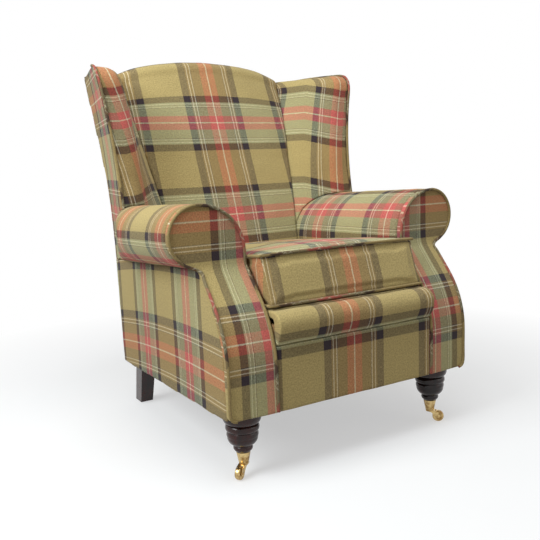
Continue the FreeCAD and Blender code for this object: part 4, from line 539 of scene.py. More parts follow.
def tartan_group(sett: Sett) -> bpy.types.NodeTree:
    """Group that colours cloth coordinates with the sett's woven stripes."""
    group, tree, start, end = new_group(
        "tartan_weave",
        [("Cloth", VECTOR, None), ("Twill", FLOAT, 0.0026), ("Heather", FLOAT, 0.28)],
        [("Color", COLOUR), ("Height", FLOAT)],
    )
    cloth = start.outputs["Cloth"]
    parts = tree.add("ShaderNodeSeparateXYZ", in_0=cloth)
    wobble = tree.noise(cloth, 260.0, 1.0)
    wobble = tree.maths("MULTIPLY", tree.maths("SUBTRACT", wobble, 0.5), 0.0024)
    colours = []
    slubs = []
    for index, yarns in enumerate((sett.warp, sett.weft)):
        place = tree.maths("ADD", parts.outputs[index], wobble)
        share = tree.maths("ADD", tree.maths("DIVIDE", place, sett.repeat), 0.5)
        fold = tree.maths("SUBTRACT", tree.maths("FRACT", share), 0.5)
        fold = tree.maths("MULTIPLY", tree.maths("ABSOLUTE", fold), 2.0)
        colours.append(tree.ramp(fold, sett.stops(yarns)))
        stretch = (1500.0, 110.0, 0.0) if index == 0 else (110.0, 1500.0, 0.0)
        long = tree.add("ShaderNodeVectorMath", operation="MULTIPLY", in_0=cloth, in_1=stretch)
        slubs.append(tree.noise(long.outputs[0], 1.0, 1.0))
    diagonal = tree.maths("ADD", parts.outputs[0], parts.outputs[1])
    cycles = tree.maths("DIVIDE", diagonal, start.outputs["Twill"])
    twill = tree.maths("SINE", tree.maths("MULTIPLY", cycles, 2 * math.pi))
    over = tree.maths("ADD", tree.maths("MULTIPLY", twill, 0.16), 0.5)
    slub = tree.maths("SUBTRACT", slubs[0], slubs[1])
    over = tree.maths("ADD", over, tree.maths("MULTIPLY", slub, 0.7))
    colour = tree.blend("MIX", over, colours[0], colours[1])
    speckle = tree.noise(cloth, 260.0, 3.0)
    cloud = tree.noise(cloth, 9.0, 2.0)
    speckle = tree.maths("MULTIPLY", tree.maths("SUBTRACT", speckle, 0.5), start.outputs["Heather"])
    cloud = tree.maths("MULTIPLY", tree.maths("SUBTRACT", cloud, 0.5), 0.10)
    tone = tree.maths("ADD", tree.maths("MULTIPLY", speckle, 4.0), tree.maths("ADD", cloud, 1.0))
    grey = tree.add("ShaderNodeCombineColor", in_0=tone, in_1=tone, in_2=tone)
    colour = tree.blend("MULTIPLY", 1.0, colour, grey.outputs[0])
    tree.feed(colour, end.inputs["Color"])
    fuzz = tree.noise(cloth, 900.0, 3.0)
    height = tree.maths("ADD", tree.maths("MULTIPLY", twill, 0.35), fuzz)
    tree.feed(height, end.inputs["Height"])
    return group


def grain_group() -> bpy.types.NodeTree:
    """Group that draws wood grain along Z between two colours."""
    group, tree, start, end = new_group(
        "wood_grain",
        [("Dark", COLOUR, None), ("Light", COLOUR, None), ("Scale", FLOAT, 40.0)],
        [("Color", COLOUR), ("Height", FLOAT), ("Roughness", FLOAT)],
    )
    coordinate = tree.add("ShaderNodeTexCoord")
    stretch = tree.add(
        "ShaderNodeVectorMath",
        operation="MULTIPLY",
        in_0=coordinate.outputs["Object"],
        in_1=(1.0, 1.0, 0.12),
    )
    lines = tree.add("ShaderNodeTexNoise")
    tree.feed(stretch.outputs[0], lines.inputs["Vector"])
    tree.feed(start.outputs["Scale"], lines.inputs["Scale"])
    lines.inputs["Detail"].default_value = 6.0
    lines.inputs["Distortion"].default_value = 0.8
    figure = tree.noise(coordinate.outputs["Object"], 14.0, 2.0)
    share = tree.maths("ADD", tree.maths("MULTIPLY", lines.outputs[0], 0.75), 0.0)
    share = tree.maths("ADD", share, tree.maths("MULTIPLY", figure, 0.25))
    spread = tree.add("ShaderNodeMapRange", in_0=share, in_1=0.36, in_2=0.64)
    colour = tree.blend("MIX", spread.outputs[0], start.outputs["Dark"], start.outputs["Light"])
    tree.feed(colour, end.inputs["Color"])
    tree.feed(lines.outputs[0], end.inputs["Height"])
    smudge = tree.noise(coordinate.outputs["Object"], 55.0, 2.0)
    tree.feed(
        tree.maths("ADD", tree.maths("MULTIPLY", smudge, 0.22), 0.12), end.inputs["Roughness"]
    )
    return group


def wear_group() -> bpy.types.NodeTree:
    """Group that mottles a metal's or plain cloth's colour and roughness."""
    group, tree, start, end = new_group(
        "handled_surface",
        [
            ("Base", COLOUR, None),
            ("Worn", COLOUR, None),
            ("Scale", FLOAT, 60.0),
            ("Smooth", FLOAT, 0.15),
            ("Rough", FLOAT, 0.35),
        ],
        [("Color", COLOUR), ("Roughness", FLOAT), ("Height", FLOAT)],
    )
    coordinate = tree.add("ShaderNodeTexCoord")
    spots = tree.add("ShaderNodeTexNoise")
    tree.feed(coordinate.outputs["Object"], spots.inputs["Vector"])
    tree.feed(start.outputs["Scale"], spots.inputs["Scale"])
    spots.inputs["Detail"].default_value = 4.0
    share = tree.add("ShaderNodeMapRange", in_0=spots.outputs[0], in_1=0.4, in_2=0.65)
    tree.feed(
        tree.blend("MIX", share.outputs[0], start.outputs["Base"], start.outputs["Worn"]),
        end.inputs["Color"],
    )
    reach = tree.maths("SUBTRACT", start.outputs["Rough"], start.outputs["Smooth"])
    rough = tree.maths(
        "ADD", tree.maths("MULTIPLY", share.outputs[0], reach), start.outputs["Smooth"]
    )
    tree.feed(rough, end.inputs["Roughness"])
    tree.feed(spots.outputs[0], end.inputs["Height"])
    return group


@dataclass(frozen=True)
class Tartan:
    """Brushed woollen tartan, read from the cloth coordinates of a piece."""

    name: str = "tartan_wool"
    sheen: float = 0.10
    bump: float = 0.35
    # shade is a dark brown, and the share below pulls the weave's colour towards it: painted shade
    # along the piping's seams. The plain cloth takes none.
    shade: tuple[int, int, int] = (96, 74, 48)
    painted_shade_share: float = 0.0

    def make(self, group: bpy.types.NodeTree) -> bpy.types.Material:
        """Build the material round the weave group."""
        material, tree, shader = new_material(self.name)
        cloth = tree.add("ShaderNodeAttribute", attribute_name="cloth")
        weave = tree.add("ShaderNodeGroup", node_tree=group)
        tree.feed(cloth.outputs["Vector"], weave.inputs["Cloth"])
        colour = weave.outputs["Color"]
        # Painted shade: the weave's colour is mixed towards the dark shade colour.
        if self.painted_shade_share:
            colour = tree.blend("MIX", self.painted_shade_share, colour, srgb(*self.shade))
        tree.feed(colour, shader.inputs["Base Color"])
        tree.relief(weave.outputs["Height"], self.bump, 0.0006, shader)
        shader.inputs["Roughness"].default_value = 0.95
        shader.inputs["Specular IOR Level"].default_value = 0.15
        shader.inputs["Sheen Weight"].default_value = self.sheen
        shader.inputs["Sheen Roughness"].default_value = 0.6
        return material


@dataclass(frozen=True)
class Wood:
    """Wood with grain, raw or lacquered."""

    name: str
    dark: tuple[int, int, int]
    light: tuple[int, int, int]
    scale: float
    lacquer: float

    def make(self, group: bpy.types.NodeTree) -> bpy.types.Material:
        """Build the material round the grain group."""
        material, tree, shader = new_material(self.name)
        grain = tree.add("ShaderNodeGroup", node_tree=group)
        for socket, value in zip(grain.inputs, (srgb(*self.dark), srgb(*self.light), self.scale)):
            socket.default_value = value
        tree.feed(grain.outputs["Color"], shader.inputs["Base Color"])
        tree.feed(grain.outputs["Roughness"], shader.inputs["Roughness"])
        tree.relief(grain.outputs["Height"], 0.15, 0.0004, shader)
        shader.inputs["Coat Weight"].default_value = self.lacquer
        shader.inputs["Coat Roughness"].default_value = 0.10
        shader.inputs["Specular IOR Level"].default_value = 0.25
        return material


@dataclass(frozen=True)
class Plain:
    """A metal, cloth or plastic of one colour, mottled by use."""

    name: str
    base: tuple[int, int, int]
    worn: tuple[int, int, int]
    scale: float
    smooth: float
    rough: float
    metal: float = 0.0
    relief: float = 0.1

    def make(self, group: bpy.types.NodeTree) -> bpy.types.Material:
        """Build the material round the handled surface group."""
        material, tree, shader = new_material(self.name)
        wear = tree.add("ShaderNodeGroup", node_tree=group)
        values = (srgb(*self.base), srgb(*self.worn), self.scale, self.smooth, self.rough)
        for socket, value in zip(wear.inputs, values):
            socket.default_value = value
        tree.feed(wear.outputs["Color"], shader.inputs["Base Color"])
        tree.feed(wear.outputs["Roughness"], shader.inputs["Roughness"])
        tree.relief(wear.outputs["Height"], self.relief, 0.0005, shader)
        shader.inputs["Metallic"].default_value = self.metal
        return material


def new_material(name: str) -> tuple[bpy.types.Material, NodeTree, bpy.types.Node]:
    """A material with its helper and its main shader."""
    material = bpy.data.materials.new(name)
    material.use_nodes = True
    return material, NodeTree(material.node_tree), material.node_tree.nodes["Principled BSDF"]


class Finishes:
    """Every finish on the chair, by the record's slot name."""

    def __init__(self) -> None:
        """Build the shared groups once and each material from them."""
        weave = tartan_group(Sett())
        grain = grain_group()
        wear = wear_group()
        dark_wood = Wood("dark_turned_wood", (18, 6, 4), (62, 20, 14), 36.0, 0.22)
        beech = Wood("beech_frame", (150, 112, 72), (196, 160, 116), 30.0, 0.0)
        self.by_slot: dict[str, bpy.types.Material] = {
            "tartan_wool": Tartan().make(weave),
            # The piping's tartan is pulled 45% towards the dark shade colour, as painted shade of
            # its seam outline.
            "tartan_piping": Tartan("tartan_piping", 0.08, 0.25, painted_shade_share=0.45).make(weave),
            "dark_turned_wood": dark_wood.make(grain),
            "beech_frame": beech.make(grain),
        }
        for plain in (
            Plain("castor_brass", (212, 186, 132), (146, 112, 64), 90.0, 0.14, 0.34, 1.0, 0.25),
            Plain("spring_steel", (96, 96, 100), (70, 66, 64), 80.0, 0.30, 0.55, 1.0),
            Plain("lining_cloth", (150, 138, 110), (128, 116, 92), 300.0, 0.9, 1.0, 0.0, 0.4),
            Plain("webbing", (150, 128, 92), (120, 100, 70), 400.0, 0.9, 1.0, 0.0, 0.5),
            Plain("black_cloth", (24, 24, 26), (16, 16, 17), 500.0, 0.9, 1.0, 0.0, 0.4),
            Plain("cushion_filling", (226, 216, 184), (206, 194, 158), 200.0, 0.9, 1.0),
            Plain("glide_plastic", (26, 26, 28), (38, 38, 40), 120.0, 0.4, 0.6),
        ):
            self.by_slot[plain.name] = plain.make(wear)

    def on_frame(self, frame: dict) -> None:
        """Give each node of the frame the finish of its slot."""
        slots = {row["node"]: row["material_slot"] for row in frame["record"]["subparts"]}
        for name, node in frame["nodes"].items():
            if not node.material_slots:
                node.data.materials.append(self.by_slot[slots[name]])
            for slot in node.material_slots:
                slot.link = "OBJECT"
                slot.material = self.by_slot[slots[name]]


# Upholstery


@dataclass(frozen=True)
class Laid:
    """Where the tartan's red middle falls on a piece, and how the cloth is pulled."""

    warp: float = 0.0
    weft: float = 0.0
    warp_pull: float = 1.0
    weft_pull: float = 1.0
    lean: float = 0.0
    droop: float = 0.0
    level: float = 0.85
    droop_span: tuple[float, float] = (0.03, 0.16)
    droop_middle: float = 0.08

    def apply(self, warp: Array, weft: Array, height: Array) -> tuple[Array, Array]:
        """Shift, stretch and slant the cloth.

        Args:
            warp: warp coordinates as laid flat.
            weft: weft coordinates as laid flat.
            height: heights of the same corners.

        Returns:
            The warp and weft coordinates that the weave reads.
        """
        slanted = weft - self.droop * (np.clip(warp, *self.droop_span) - self.droop_middle)
        upright = warp + self.lean * (height - self.level)
        return upright * self.warp_pull - self.warp, slanted * self.weft_pull - self.weft


WAVE_LENGTHS = (0.16, 0.11, 0.07, 0.05)
KEYS_PER_METRE = 2e5
CLOTH_STEPS = 18


@dataclass
class Pad:
    """One padded piece that takes the place of one node.

    A pad starts from its node's outer form, is meshed evenly, softened at its
    edges, puffed where it is stuffed, and then given its cloth.
    """

    node: str
    lay: Lay
    laid: Laid
    voxel: float = 0.004
    rounds: int = 6
    ripple: float = 0.0004
    fill: float = 0.9
    body: str = "frame"
    pressure: float = 0.0
    swell: float = 0.004

    def outer_shell(self, mesh: bpy.types.Mesh) -> bpy.types.Mesh:
        """The mesh without any shell that lies inside another.

        Args:
            mesh: a copy of the node's mesh, which is changed.

        Returns:
            The same mesh.
        """
        count = len(mesh.vertices)
        places = np.empty(count * 3)
        mesh.vertices.foreach_get("co", places)
        places = places.reshape(-1, 3)
        keys = np.round(places * KEYS_PER_METRE).astype(np.int64)
        _, spot = np.unique(keys, axis=0, return_inverse=True)
        spot = spot.ravel()
        parent = np.arange(spot.max() + 1)
        edges = np.empty(len(mesh.edges) * 2, np.int32)
        mesh.edges.foreach_get("vertices", edges)
        pairs = spot[edges.reshape(-1, 2)]
        while True:
            low = np.minimum(parent[pairs[:, 0]], parent[pairs[:, 1]])
            before = parent.copy()
            np.minimum.at(parent, pairs[:, 0], low)
            np.minimum.at(parent, pairs[:, 1], low)
            parent = parent[parent]
            if np.array_equal(before, parent):
                break
        shell = parent[spot]
        sizes = {}
        for number in np.unique(shell):
            span = np.ptp(places[shell == number], axis=0)
            sizes[number] = float(np.prod(span + 1e-6))
        largest = max(sizes, key=lambda number: sizes[number])
        if len(sizes) > 1:
            inner = [int(i) for i in np.nonzero(shell != largest)[0]]
            work = bmesh.new()
            work.from_mesh(mesh)
            work.verts.ensure_lookup_table()
            bmesh.ops.delete(work, geom=[work.verts[i] for i in inner], context="VERTS")
            work.to_mesh(mesh)
            work.free()
        return mesh

    def build(self, frame: dict, finishes: Finishes) -> bpy.types.Object:
        """Make the piece, dress it and hand it to the frame.

        Args:
            finishes: the chair's materials.

        Returns:
            The finished piece.
        """
        source = self.outer_shell(frame["nodes"][self.node].data.copy())
        piece = new_object("pad_" + self.node, source)
        remesh = piece.modifiers.new("Even mesh", "REMESH")
        remesh.mode = "VOXEL"
        remesh.voxel_size = self.voxel
        soften = piece.modifiers.new("Soft edges", "SMOOTH")
        soften.factor = 0.5
        soften.iterations = self.rounds
        bake_modifiers(piece)
        write_cloth(piece.data, self.lay, self.laid)
        if self.pressure:
            puff(piece, self.pressure, self.swell)
        self.ruffle(piece.data)
        finish_piece(piece, finishes.by_slot["tartan_wool"])
        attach(piece, self.body)
        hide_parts(self.node)
        return piece

    def ruffle(self, mesh: bpy.types.Mesh) -> None:
        """Shallow unevenness of stuffed cloth, along the normals."""
        places, normals = vertex_arrays(mesh)
        waves = np.zeros(len(places))
        draw = np.random.default_rng(sum(ord(letter) for letter in self.node))
        for length in WAVE_LENGTHS:
            for _ in range(3):
                heading = draw.normal(size=3)
                heading /= np.linalg.norm(heading)
                waves += np.sin(places @ heading * 2 * math.pi / length + draw.uniform(0, 6.3))
        places += normals * (waves * self.ripple / 3)[:, None]
        mesh.vertices.foreach_set("co", places.ravel())
        mesh.update()


def new_object(name: str, mesh: bpy.types.Mesh) -> bpy.types.Object:
    """Link a new object with this mesh into the scene."""
    mesh.name = name
    piece = bpy.data.objects.new(name, mesh)
    bpy.context.scene.collection.objects.link(piece)
    return piece


def bake_modifiers(piece: bpy.types.Object) -> None:
    """Replace the piece's mesh by what its modifiers make of it."""
    bpy.context.view_layer.update()
    graph = bpy.context.evaluated_depsgraph_get()
    made = bpy.data.meshes.new_from_object(piece.evaluated_get(graph))
    old = piece.data
    piece.modifiers.clear()
    made.name = old.name
    piece.data = made
    bpy.data.meshes.remove(old)


def vertex_arrays(mesh: bpy.types.Mesh) -> tuple[Array, Array]:
    """Places and normals of a mesh's vertices."""
    places = np.empty(len(mesh.vertices) * 3)
    mesh.vertices.foreach_get("co", places)
    normals = np.empty(len(mesh.vertices) * 3)
    mesh.vertex_normals.foreach_get("vector", normals)
    return places.reshape(-1, 3), normals.reshape(-1, 3)


def puff(piece: bpy.types.Object, pressure: float, most: float) -> None:
    """Blow the piece up a little as cloth, outwards only, and cap how far it moves.

    Args:
        piece: an evenly meshed closed piece.
        pressure: the cloth's inner pressure.
        most: the furthest that a point may move, in metres.
    """
    before, normals = vertex_arrays(piece.data)
    cloth = piece.modifiers.new("Stuffing", "CLOTH")
    settings = cloth.settings
    settings.use_pressure = True
    settings.uniform_pressure_force = pressure
    settings.quality = 5
    settings.effector_weights.gravity = 0.0
    scene = bpy.context.scene
    for step in range(1, CLOTH_STEPS + 1):
        scene.frame_set(step)
    graph = bpy.context.evaluated_depsgraph_get()
    blown = piece.evaluated_get(graph).data
    after = np.empty(len(blown.vertices) * 3)
    blown.vertices.foreach_get("co", after)
    after = after.reshape(-1, 3)
    piece.modifiers.clear()
    scene.frame_set(1)
    swell = np.clip(np.sum((after - before) * normals, axis=1), 0.0, most)
    piece.data.vertices.foreach_set("co", (before + normals * swell[:, None]).ravel())
    piece.data.update()


def write_cloth(mesh: bpy.types.Mesh, lay: Lay, laid: Laid) -> None:
    """Store where the cloth lies, corner by corner, for the weave to read.

    Args:
        mesh: the finished mesh of a piece.
        lay: gives warp and weft coordinates from places and normals.
        laid: where the tartan's red middle falls.
    """
    places, _ = vertex_arrays(mesh)
    corners = np.empty(len(mesh.loops), np.int32)
    mesh.loops.foreach_get("vertex_index", corners)
    counts = np.empty(len(mesh.polygons), np.int32)
    mesh.polygons.foreach_get("loop_total", counts)
    faces = np.empty(len(mesh.polygons) * 3)
    mesh.polygons.foreach_get("normal", faces)
    normals = np.repeat(faces.reshape(-1, 3), counts, axis=0)
    warp, weft = lay(places[corners], normals)
    warp, weft = laid.apply(warp, weft, places[corners, 2])
    values = np.zeros((len(corners), 3), np.float32)
    values[:, 0] = warp
    values[:, 1] = weft
    layer = mesh.attributes.new("cloth", "FLOAT_VECTOR", "CORNER")
    layer.data.foreach_set("vector", values.ravel())


def finish_piece(piece: bpy.types.Object, material: bpy.types.Material) -> None:
    """Shade the piece smooth and give it one material."""
    piece.data.polygons.foreach_set("use_smooth", [True] * len(piece.data.polygons))
    piece.data.materials.clear()
    piece.data.materials.append(material)


# How cloth is laid on each kind of piece


def lay_back(places: Array, normals: Array) -> tuple[Array, Array]:
    """Warp across x, weft up the back and over its crest."""
    x, y, z = places.T
    flat = y - BACK.setback(x)
    share = np.clip((z - BACK.crest_foot) / BACK.crest_rise, 0.0, 1.0)
    rise = z + BACK.drop(x) * share
    return x, along_line(np.stack([flat, rise], 1), BACK.profile())


def lay_wing(places: Array, normals: Array) -> tuple[Array, Array]:
    """Warp round the nose from the outer edge, weft level with the back's."""
    x, y, z = np.abs(places[:, 0]), places[:, 1], places[:, 2]
    return WING.wrap(x, y, z), BACK.climb(z)


def lay_arm(places: Array, normals: Array) -> tuple[Array, Array]:
    """Warp stripes ring the roll, weft stripes run along it."""
    x, y, z = np.abs(places[:, 0]), places[:, 1], places[:, 2]
    return y, ARM.wrap(x, y, z)


def lay_facing(places: Array, normals: Array) -> tuple[Array, Array]:
    """Warp stripes lie level, weft stripes run up the facing."""
    x, z = np.abs(places[:, 0]), places[:, 2]
    return FACING.climb(z), x


PANEL_RISE = (0.0084, 0.0845, 0.123)
LIP_LINE = np.array(
    [
        (-0.437, 0.300),
        (-0.450, 0.322),
        (-0.454, 0.345),
        (-0.450, 0.370),
        (-0.430, 0.386),
        (-0.39, 0.390),
    ]
)


def lay_outside_arm(places: Array, normals: Array) -> tuple[Array, Array]:
    """Warp stripes follow the sloping base, weft stripes stand upright."""
    y, z = places[:, 1], places[:, 2]
    start, slope, bend = PANEL_RISE
    return z + start + slope * y + bend * y**2, y


def lay_outside_wing(places: Array, normals: Array) -> tuple[Array, Array]:
    """Warp stripes lie level, weft stripes stand upright."""
    return places[:, 2], places[:, 1]


def lay_upright(places: Array, normals: Array) -> tuple[Array, Array]:
    """Plain flat laying: warp across x, weft up z."""
    return places[:, 0], places[:, 2]


def lay_lip(places: Array, normals: Array) -> tuple[Array, Array]:
    """Warp across x, weft round the roll of the lip."""
    return places[:, 0], along_line(places[:, 1:], LIP_LINE)


@dataclass(frozen=True)
class CushionCut:
    """How the boxed cushion's cloth is cut: flat faces along y, boxing up the sides."""

    flat_from: float = 0.62
    side_start: float = 0.37
    front_edge: float = 0.282
    box_middle: float = 0.445
    plain_middle: float = 0.158

    def lay(self, places: Array, normals: Array) -> tuple[Array, Array]:
        """Warp across the front and along the sides, weft backwards or upwards."""
        x, y, z = places.T
        nx, ny, nz = normals.T
        flat = np.abs(nz) > self.flat_from
        side = ~flat & (np.abs(nx) > np.abs(ny))
        warp = np.where(side, y + self.side_start, x)
        boxing = self.plain_middle + z - self.box_middle
        return warp, np.where(flat, -y - self.front_edge, boxing)


# Piping


@dataclass(frozen=True)
class Piping:
    """A cord covered with cloth cut on the bias, sewn into a seam."""

    name: str
    nodes: tuple[str, ...]
    runs: tuple[tuple[tuple[Vector, ...], bool], ...]
    radius: float
    start: float
    body: str = "frame"
    sides: int = 12

    def build(self, finishes: Finishes) -> bpy.types.Object:
        """Sweep every run and hand the piece to the frame."""
        places: list[Array] = []
        faces: list[tuple[int, ...]] = []
        cloth: list[Array] = []
        for points, closed in self.runs:
            self.sweep(points, closed, places, faces, cloth)
        mesh = bpy.data.meshes.new(self.name)
        mesh.from_pydata([tuple(p) for p in places], [], faces)
        layer = mesh.attributes.new("cloth", "FLOAT_VECTOR", "CORNER")
        layer.data.foreach_set("vector", np.concatenate(cloth).astype(np.float32).ravel())
        piece = new_object(self.name, mesh)
        finish_piece(piece, finishes.by_slot["tartan_piping"])
        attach(piece, self.body)
        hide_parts(*self.nodes)
        return piece

    def sweep(
        self,
        points: Sequence[Vector],
        closed: bool,
        places: list[Array],
        faces: list[tuple[int, ...]],
        cloth: list[Array],
    ) -> None:
        """Add one swept run to the lists of places, faces and corner coordinates."""
        line = smooth_line(points, closed, 0.0045)
        count = len(line)
        ahead = np.roll(line, -1, axis=0) - np.roll(line, 1, axis=0)
        if not closed:
            ahead[0], ahead[-1] = line[1] - line[0], line[-1] - line[-2]
        ahead /= np.linalg.norm(ahead, axis=1, keepdims=True)
        up = np.cross(ahead[0], (0.3, 0.5, 0.81))
        up /= np.linalg.norm(up)
        first = len(places)
        steps = np.linalg.norm(np.diff(line, axis=0), axis=1)
        run = np.concatenate([[0.0], np.cumsum(steps)])
        turns = np.linspace(0, 2 * math.pi, self.sides, endpoint=False)
        for index in range(count):
            up = up - ahead[index] * (up @ ahead[index])
            up /= np.linalg.norm(up)
            side = np.cross(ahead[index], up)
            for turn in turns:
                out = up * math.cos(turn) + side * math.sin(turn)
                places.append(line[index] + out * self.radius)
        bias = math.sqrt(0.5)
        last = count if closed else count - 1
        for index in range(last):
            for number in range(self.sides):
                ring = (number + 1) % self.sides
                after = (index + 1) % count
                corners = (
                    first + index * self.sides + number,
                    first + index * self.sides + ring,
                    first + after * self.sides + ring,
                    first + after * self.sides + number,
                )
                faces.append(corners)
                here = self.start + run[index]
                there = here + (steps[index] if index < len(steps) else 0.004)
                arcs = [turns[number], turns[number] + 2 * math.pi / self.sides]
                rows = [(here, arcs[0]), (here, arcs[1]), (there, arcs[1]), (there, arcs[0])]
                cloth.append(
                    np.array(
                        [
                            (bias * (s + a * self.radius), bias * (s - a * self.radius), 0.0)
                            for s, a in rows
                        ]
                    )
                )
        if not closed:
            for index, flip in ((0, True), (count - 1, False)):
                ring = [first + index * self.sides + number for number in range(self.sides)]
                faces.append(tuple(reversed(ring)) if flip else tuple(ring))
                cloth.append(np.tile((self.start * bias, self.start * bias, 0.0), (self.sides, 1)))


def smooth_line(points: Sequence[Vector], closed: bool, step: float) -> Array:
    """Points of a smooth curve through marks, evenly spaced.

    Args:
        points: the marks.
        closed: whether the last joins the first.
        step: spacing in metres.

    Returns:
        The (n, 3) points.
    """
    marks = np.array([tuple(p) for p in points], float)
    if closed:
        marks = np.concatenate([marks[-1:], marks, marks[:2]])
    else:
        marks = np.concatenate([2 * marks[:1] - marks[1:2], marks, 2 * marks[-1:] - marks[-2:-1]])
    rows = []
    for index in range(1, len(marks) - 2):
        before, start, end, after = marks[index - 1 : index + 3]
        reach = np.linalg.norm(end - start)
        lead = (end - before) / max(np.linalg.norm(end - before), 1e-9) * reach
        trail = (after - start) / max(np.linalg.norm(after - start), 1e-9) * reach
        count = max(int(reach / step), 2)
        for share in np.arange(count) / count:
            s2, s3 = share**2, share**3
            rows.append(
                (2 * s3 - 3 * s2 + 1) * start
                + (s3 - 2 * s2 + share) * lead
                + (3 * s2 - 2 * s3) * end
                + (s3 - s2) * trail
            )
    if not closed:
        rows.append(marks[-2])
    return np.array(rows)


def loop_round(points: Array, count: int) -> tuple[Vector, ...]:
    """Order scattered points of a closed loop by their heading from its middle.

    Args:
        points: (n, 3) points on the loop.
        count: how many marks to return at most.

    Returns:
        The loop's marks, anticlockwise.
    """
    middle = (points.max(axis=0) + points.min(axis=0)) / 2
    turn = np.arctan2(points[:, 1] - middle[1], points[:, 0] - middle[0])
    slot = np.floor((turn + math.pi) / (2 * math.pi) * count).astype(int) % count
    return tuple(Vector(points[slot == number].mean(axis=0)) for number in np.unique(slot))


# Sub-assemblies


class Side(Enum):
    """A side of the chair, seen from the front."""

    LEFT = -1
    RIGHT = 1

    @property
    def word(self) -> str:
        """The side's name in node names."""
        return self.name.lower()


def mirrored(points: Sequence[tuple[float, float, float]], side: Side) -> tuple[Vector, ...]:
    """Right-hand points, or their mirror image on the left."""
    return tuple(Vector((x * side.value, y, z)) for x, y, z in points)


@dataclass
class BackRest:
    """Inside back and outside back."""

    inside: Laid = Laid(0.0, 0.570, 1.0, 1.06)
    outside: Laid = Laid(0.0, 0.55)

    def build(self, frame: dict, finishes: Finishes) -> list[bpy.types.Object]:
        """Upholster both faces of the back."""
        pads = (
            Pad("inside_back", lay_back, self.inside, 0.0045, 8),
            Pad("outside_back", lay_upright, self.outside, 0.0045, 2, 0.0002),
        )
        return [pad.build(frame, finishes) for pad in pads]


@dataclass
class Wings:
    """Both wings, their outside panels and their piping."""

    left: Laid = Laid(0.052, 0.560, 1.0, 1.03, 0.17, 0.23)
    right: Laid = Laid(0.039, 0.551, 1.05, 1.0, 0.05, 0.23)
    outside: Laid = Laid(0.90, 0.20)
    radius: float = 0.0035

    def build(self, frame: dict, finishes: Finishes) -> list[bpy.types.Object]:
        """Upholster both wings."""
        made = []
        for side, laid in ((Side.LEFT, self.left), (Side.RIGHT, self.right)):
            word = side.word
            made.append(Pad("wing_" + word, lay_wing, laid).build(frame, finishes))
            panel = Pad("outside_wing_" + word, lay_outside_wing, self.outside, 0.0035, 2, 0.0002)
            made.append(panel.build(frame, finishes))
            run = (mirrored(self.edge(), side), False)
            node = "wing_piping_" + word
            made.append(Piping("trim_" + node, (node,), (run,), self.radius, 0.08).build(finishes))
        return made

    def edge(self) -> list[tuple[float, float, float]]:
        """Path of the piping up the front edge and back along the top."""
        path = []
        for z in np.linspace(0.600, 0.935, 9):
            x, y = WING.nose(z)
            path.append((float(x) - 0.0045, float(y) - 0.0015, float(z)))
        for z in (0.955, 0.970, 0.980):
            x, y = WING.nose(z)
            path.append((float(x) - 0.0045, float(y) + 0.0005, float(z) + 0.0015))
        x, y = WING.nose(0.985)
        path.append((float(x) - 0.0045, float(y) + 0.012, 0.9875))
        path.append((0.357, 0.30, 0.9875))
        path.append((0.353, 0.428, 0.9875))
        return path


@dataclass
class Arms:
    """Rolled arms, their facings, outside panels and piping."""

    left: Laid = Laid(-0.310, 0.2134, 1.20, 1.15)
    right: Laid = Laid(-0.270, -0.121, 1.06, 1.04)
    facing_left: Laid = Laid(0.346, 0.278, 1.06, 1.17)
    facing_right: Laid = Laid(0.349, 0.2985, 1.07, 1.20)
    panel: Laid = Laid(0.2516, -0.251, 1.04, 1.11)
    radius: float = 0.0036

    def build(self, frame: dict, finishes: Finishes) -> list[bpy.types.Object]:
        """Upholster both arms."""
        made = []
        rows = (
            (Side.LEFT, self.left, self.facing_left),
            (Side.RIGHT, self.right, self.facing_right),
        )
        for side, laid, front in rows:
            word = side.word
            made.append(Pad("arm_" + word, lay_arm, laid).build(frame, finishes))
            facing = Pad("arm_facing_" + word, lay_facing, front, 0.003, 4, 0.0003)
            made.append(facing.build(frame, finishes))
            panel = Pad("outside_arm_" + word, lay_outside_arm, self.panel, 0.0035, 2, 0.0002)
            made.append(panel.build(frame, finishes))
            run = (mirrored(self.edge(), side), False)
            node = "facing_piping_" + word
            made.append(Piping("trim_" + node, (node,), (run,), self.radius, 0.02).build(finishes))
        return made

    def edge(self) -> list[tuple[float, float, float]]:
        """Path of the piping round the facing, from the inner foot over the scroll."""
        inset = self.radius * 0.6
        spots = []
        knee = (0.26, 0.285, 0.31, 0.335, 0.36, 0.385, 0.41)
        for z in (0.160, 0.19, 0.22, *knee, 0.44, 0.470, 0.484, 0.50):
            share = (z - FACING.foot) / (ARM.top - (ARM.centre - ARM.inner) - FACING.foot)
            spots.append((FACING.inner_foot + (ARM.inner - FACING.inner_foot) * share + inset, z))
        for angle in range(180, -75, -15):
            spots.append(ARM.roll(angle, -inset))
        outer = FACING.outer - inset
        for z in (0.476, 0.460, 0.435, *knee[::-1], 0.22, 0.175):
            spots.append((outer, z))
        spots += [(outer - 0.005, 0.163), (outer - 0.016, 0.1585)]
        return [(x, FACING.reach(x, z) - self.radius * 0.45, z) for x, z in spots]


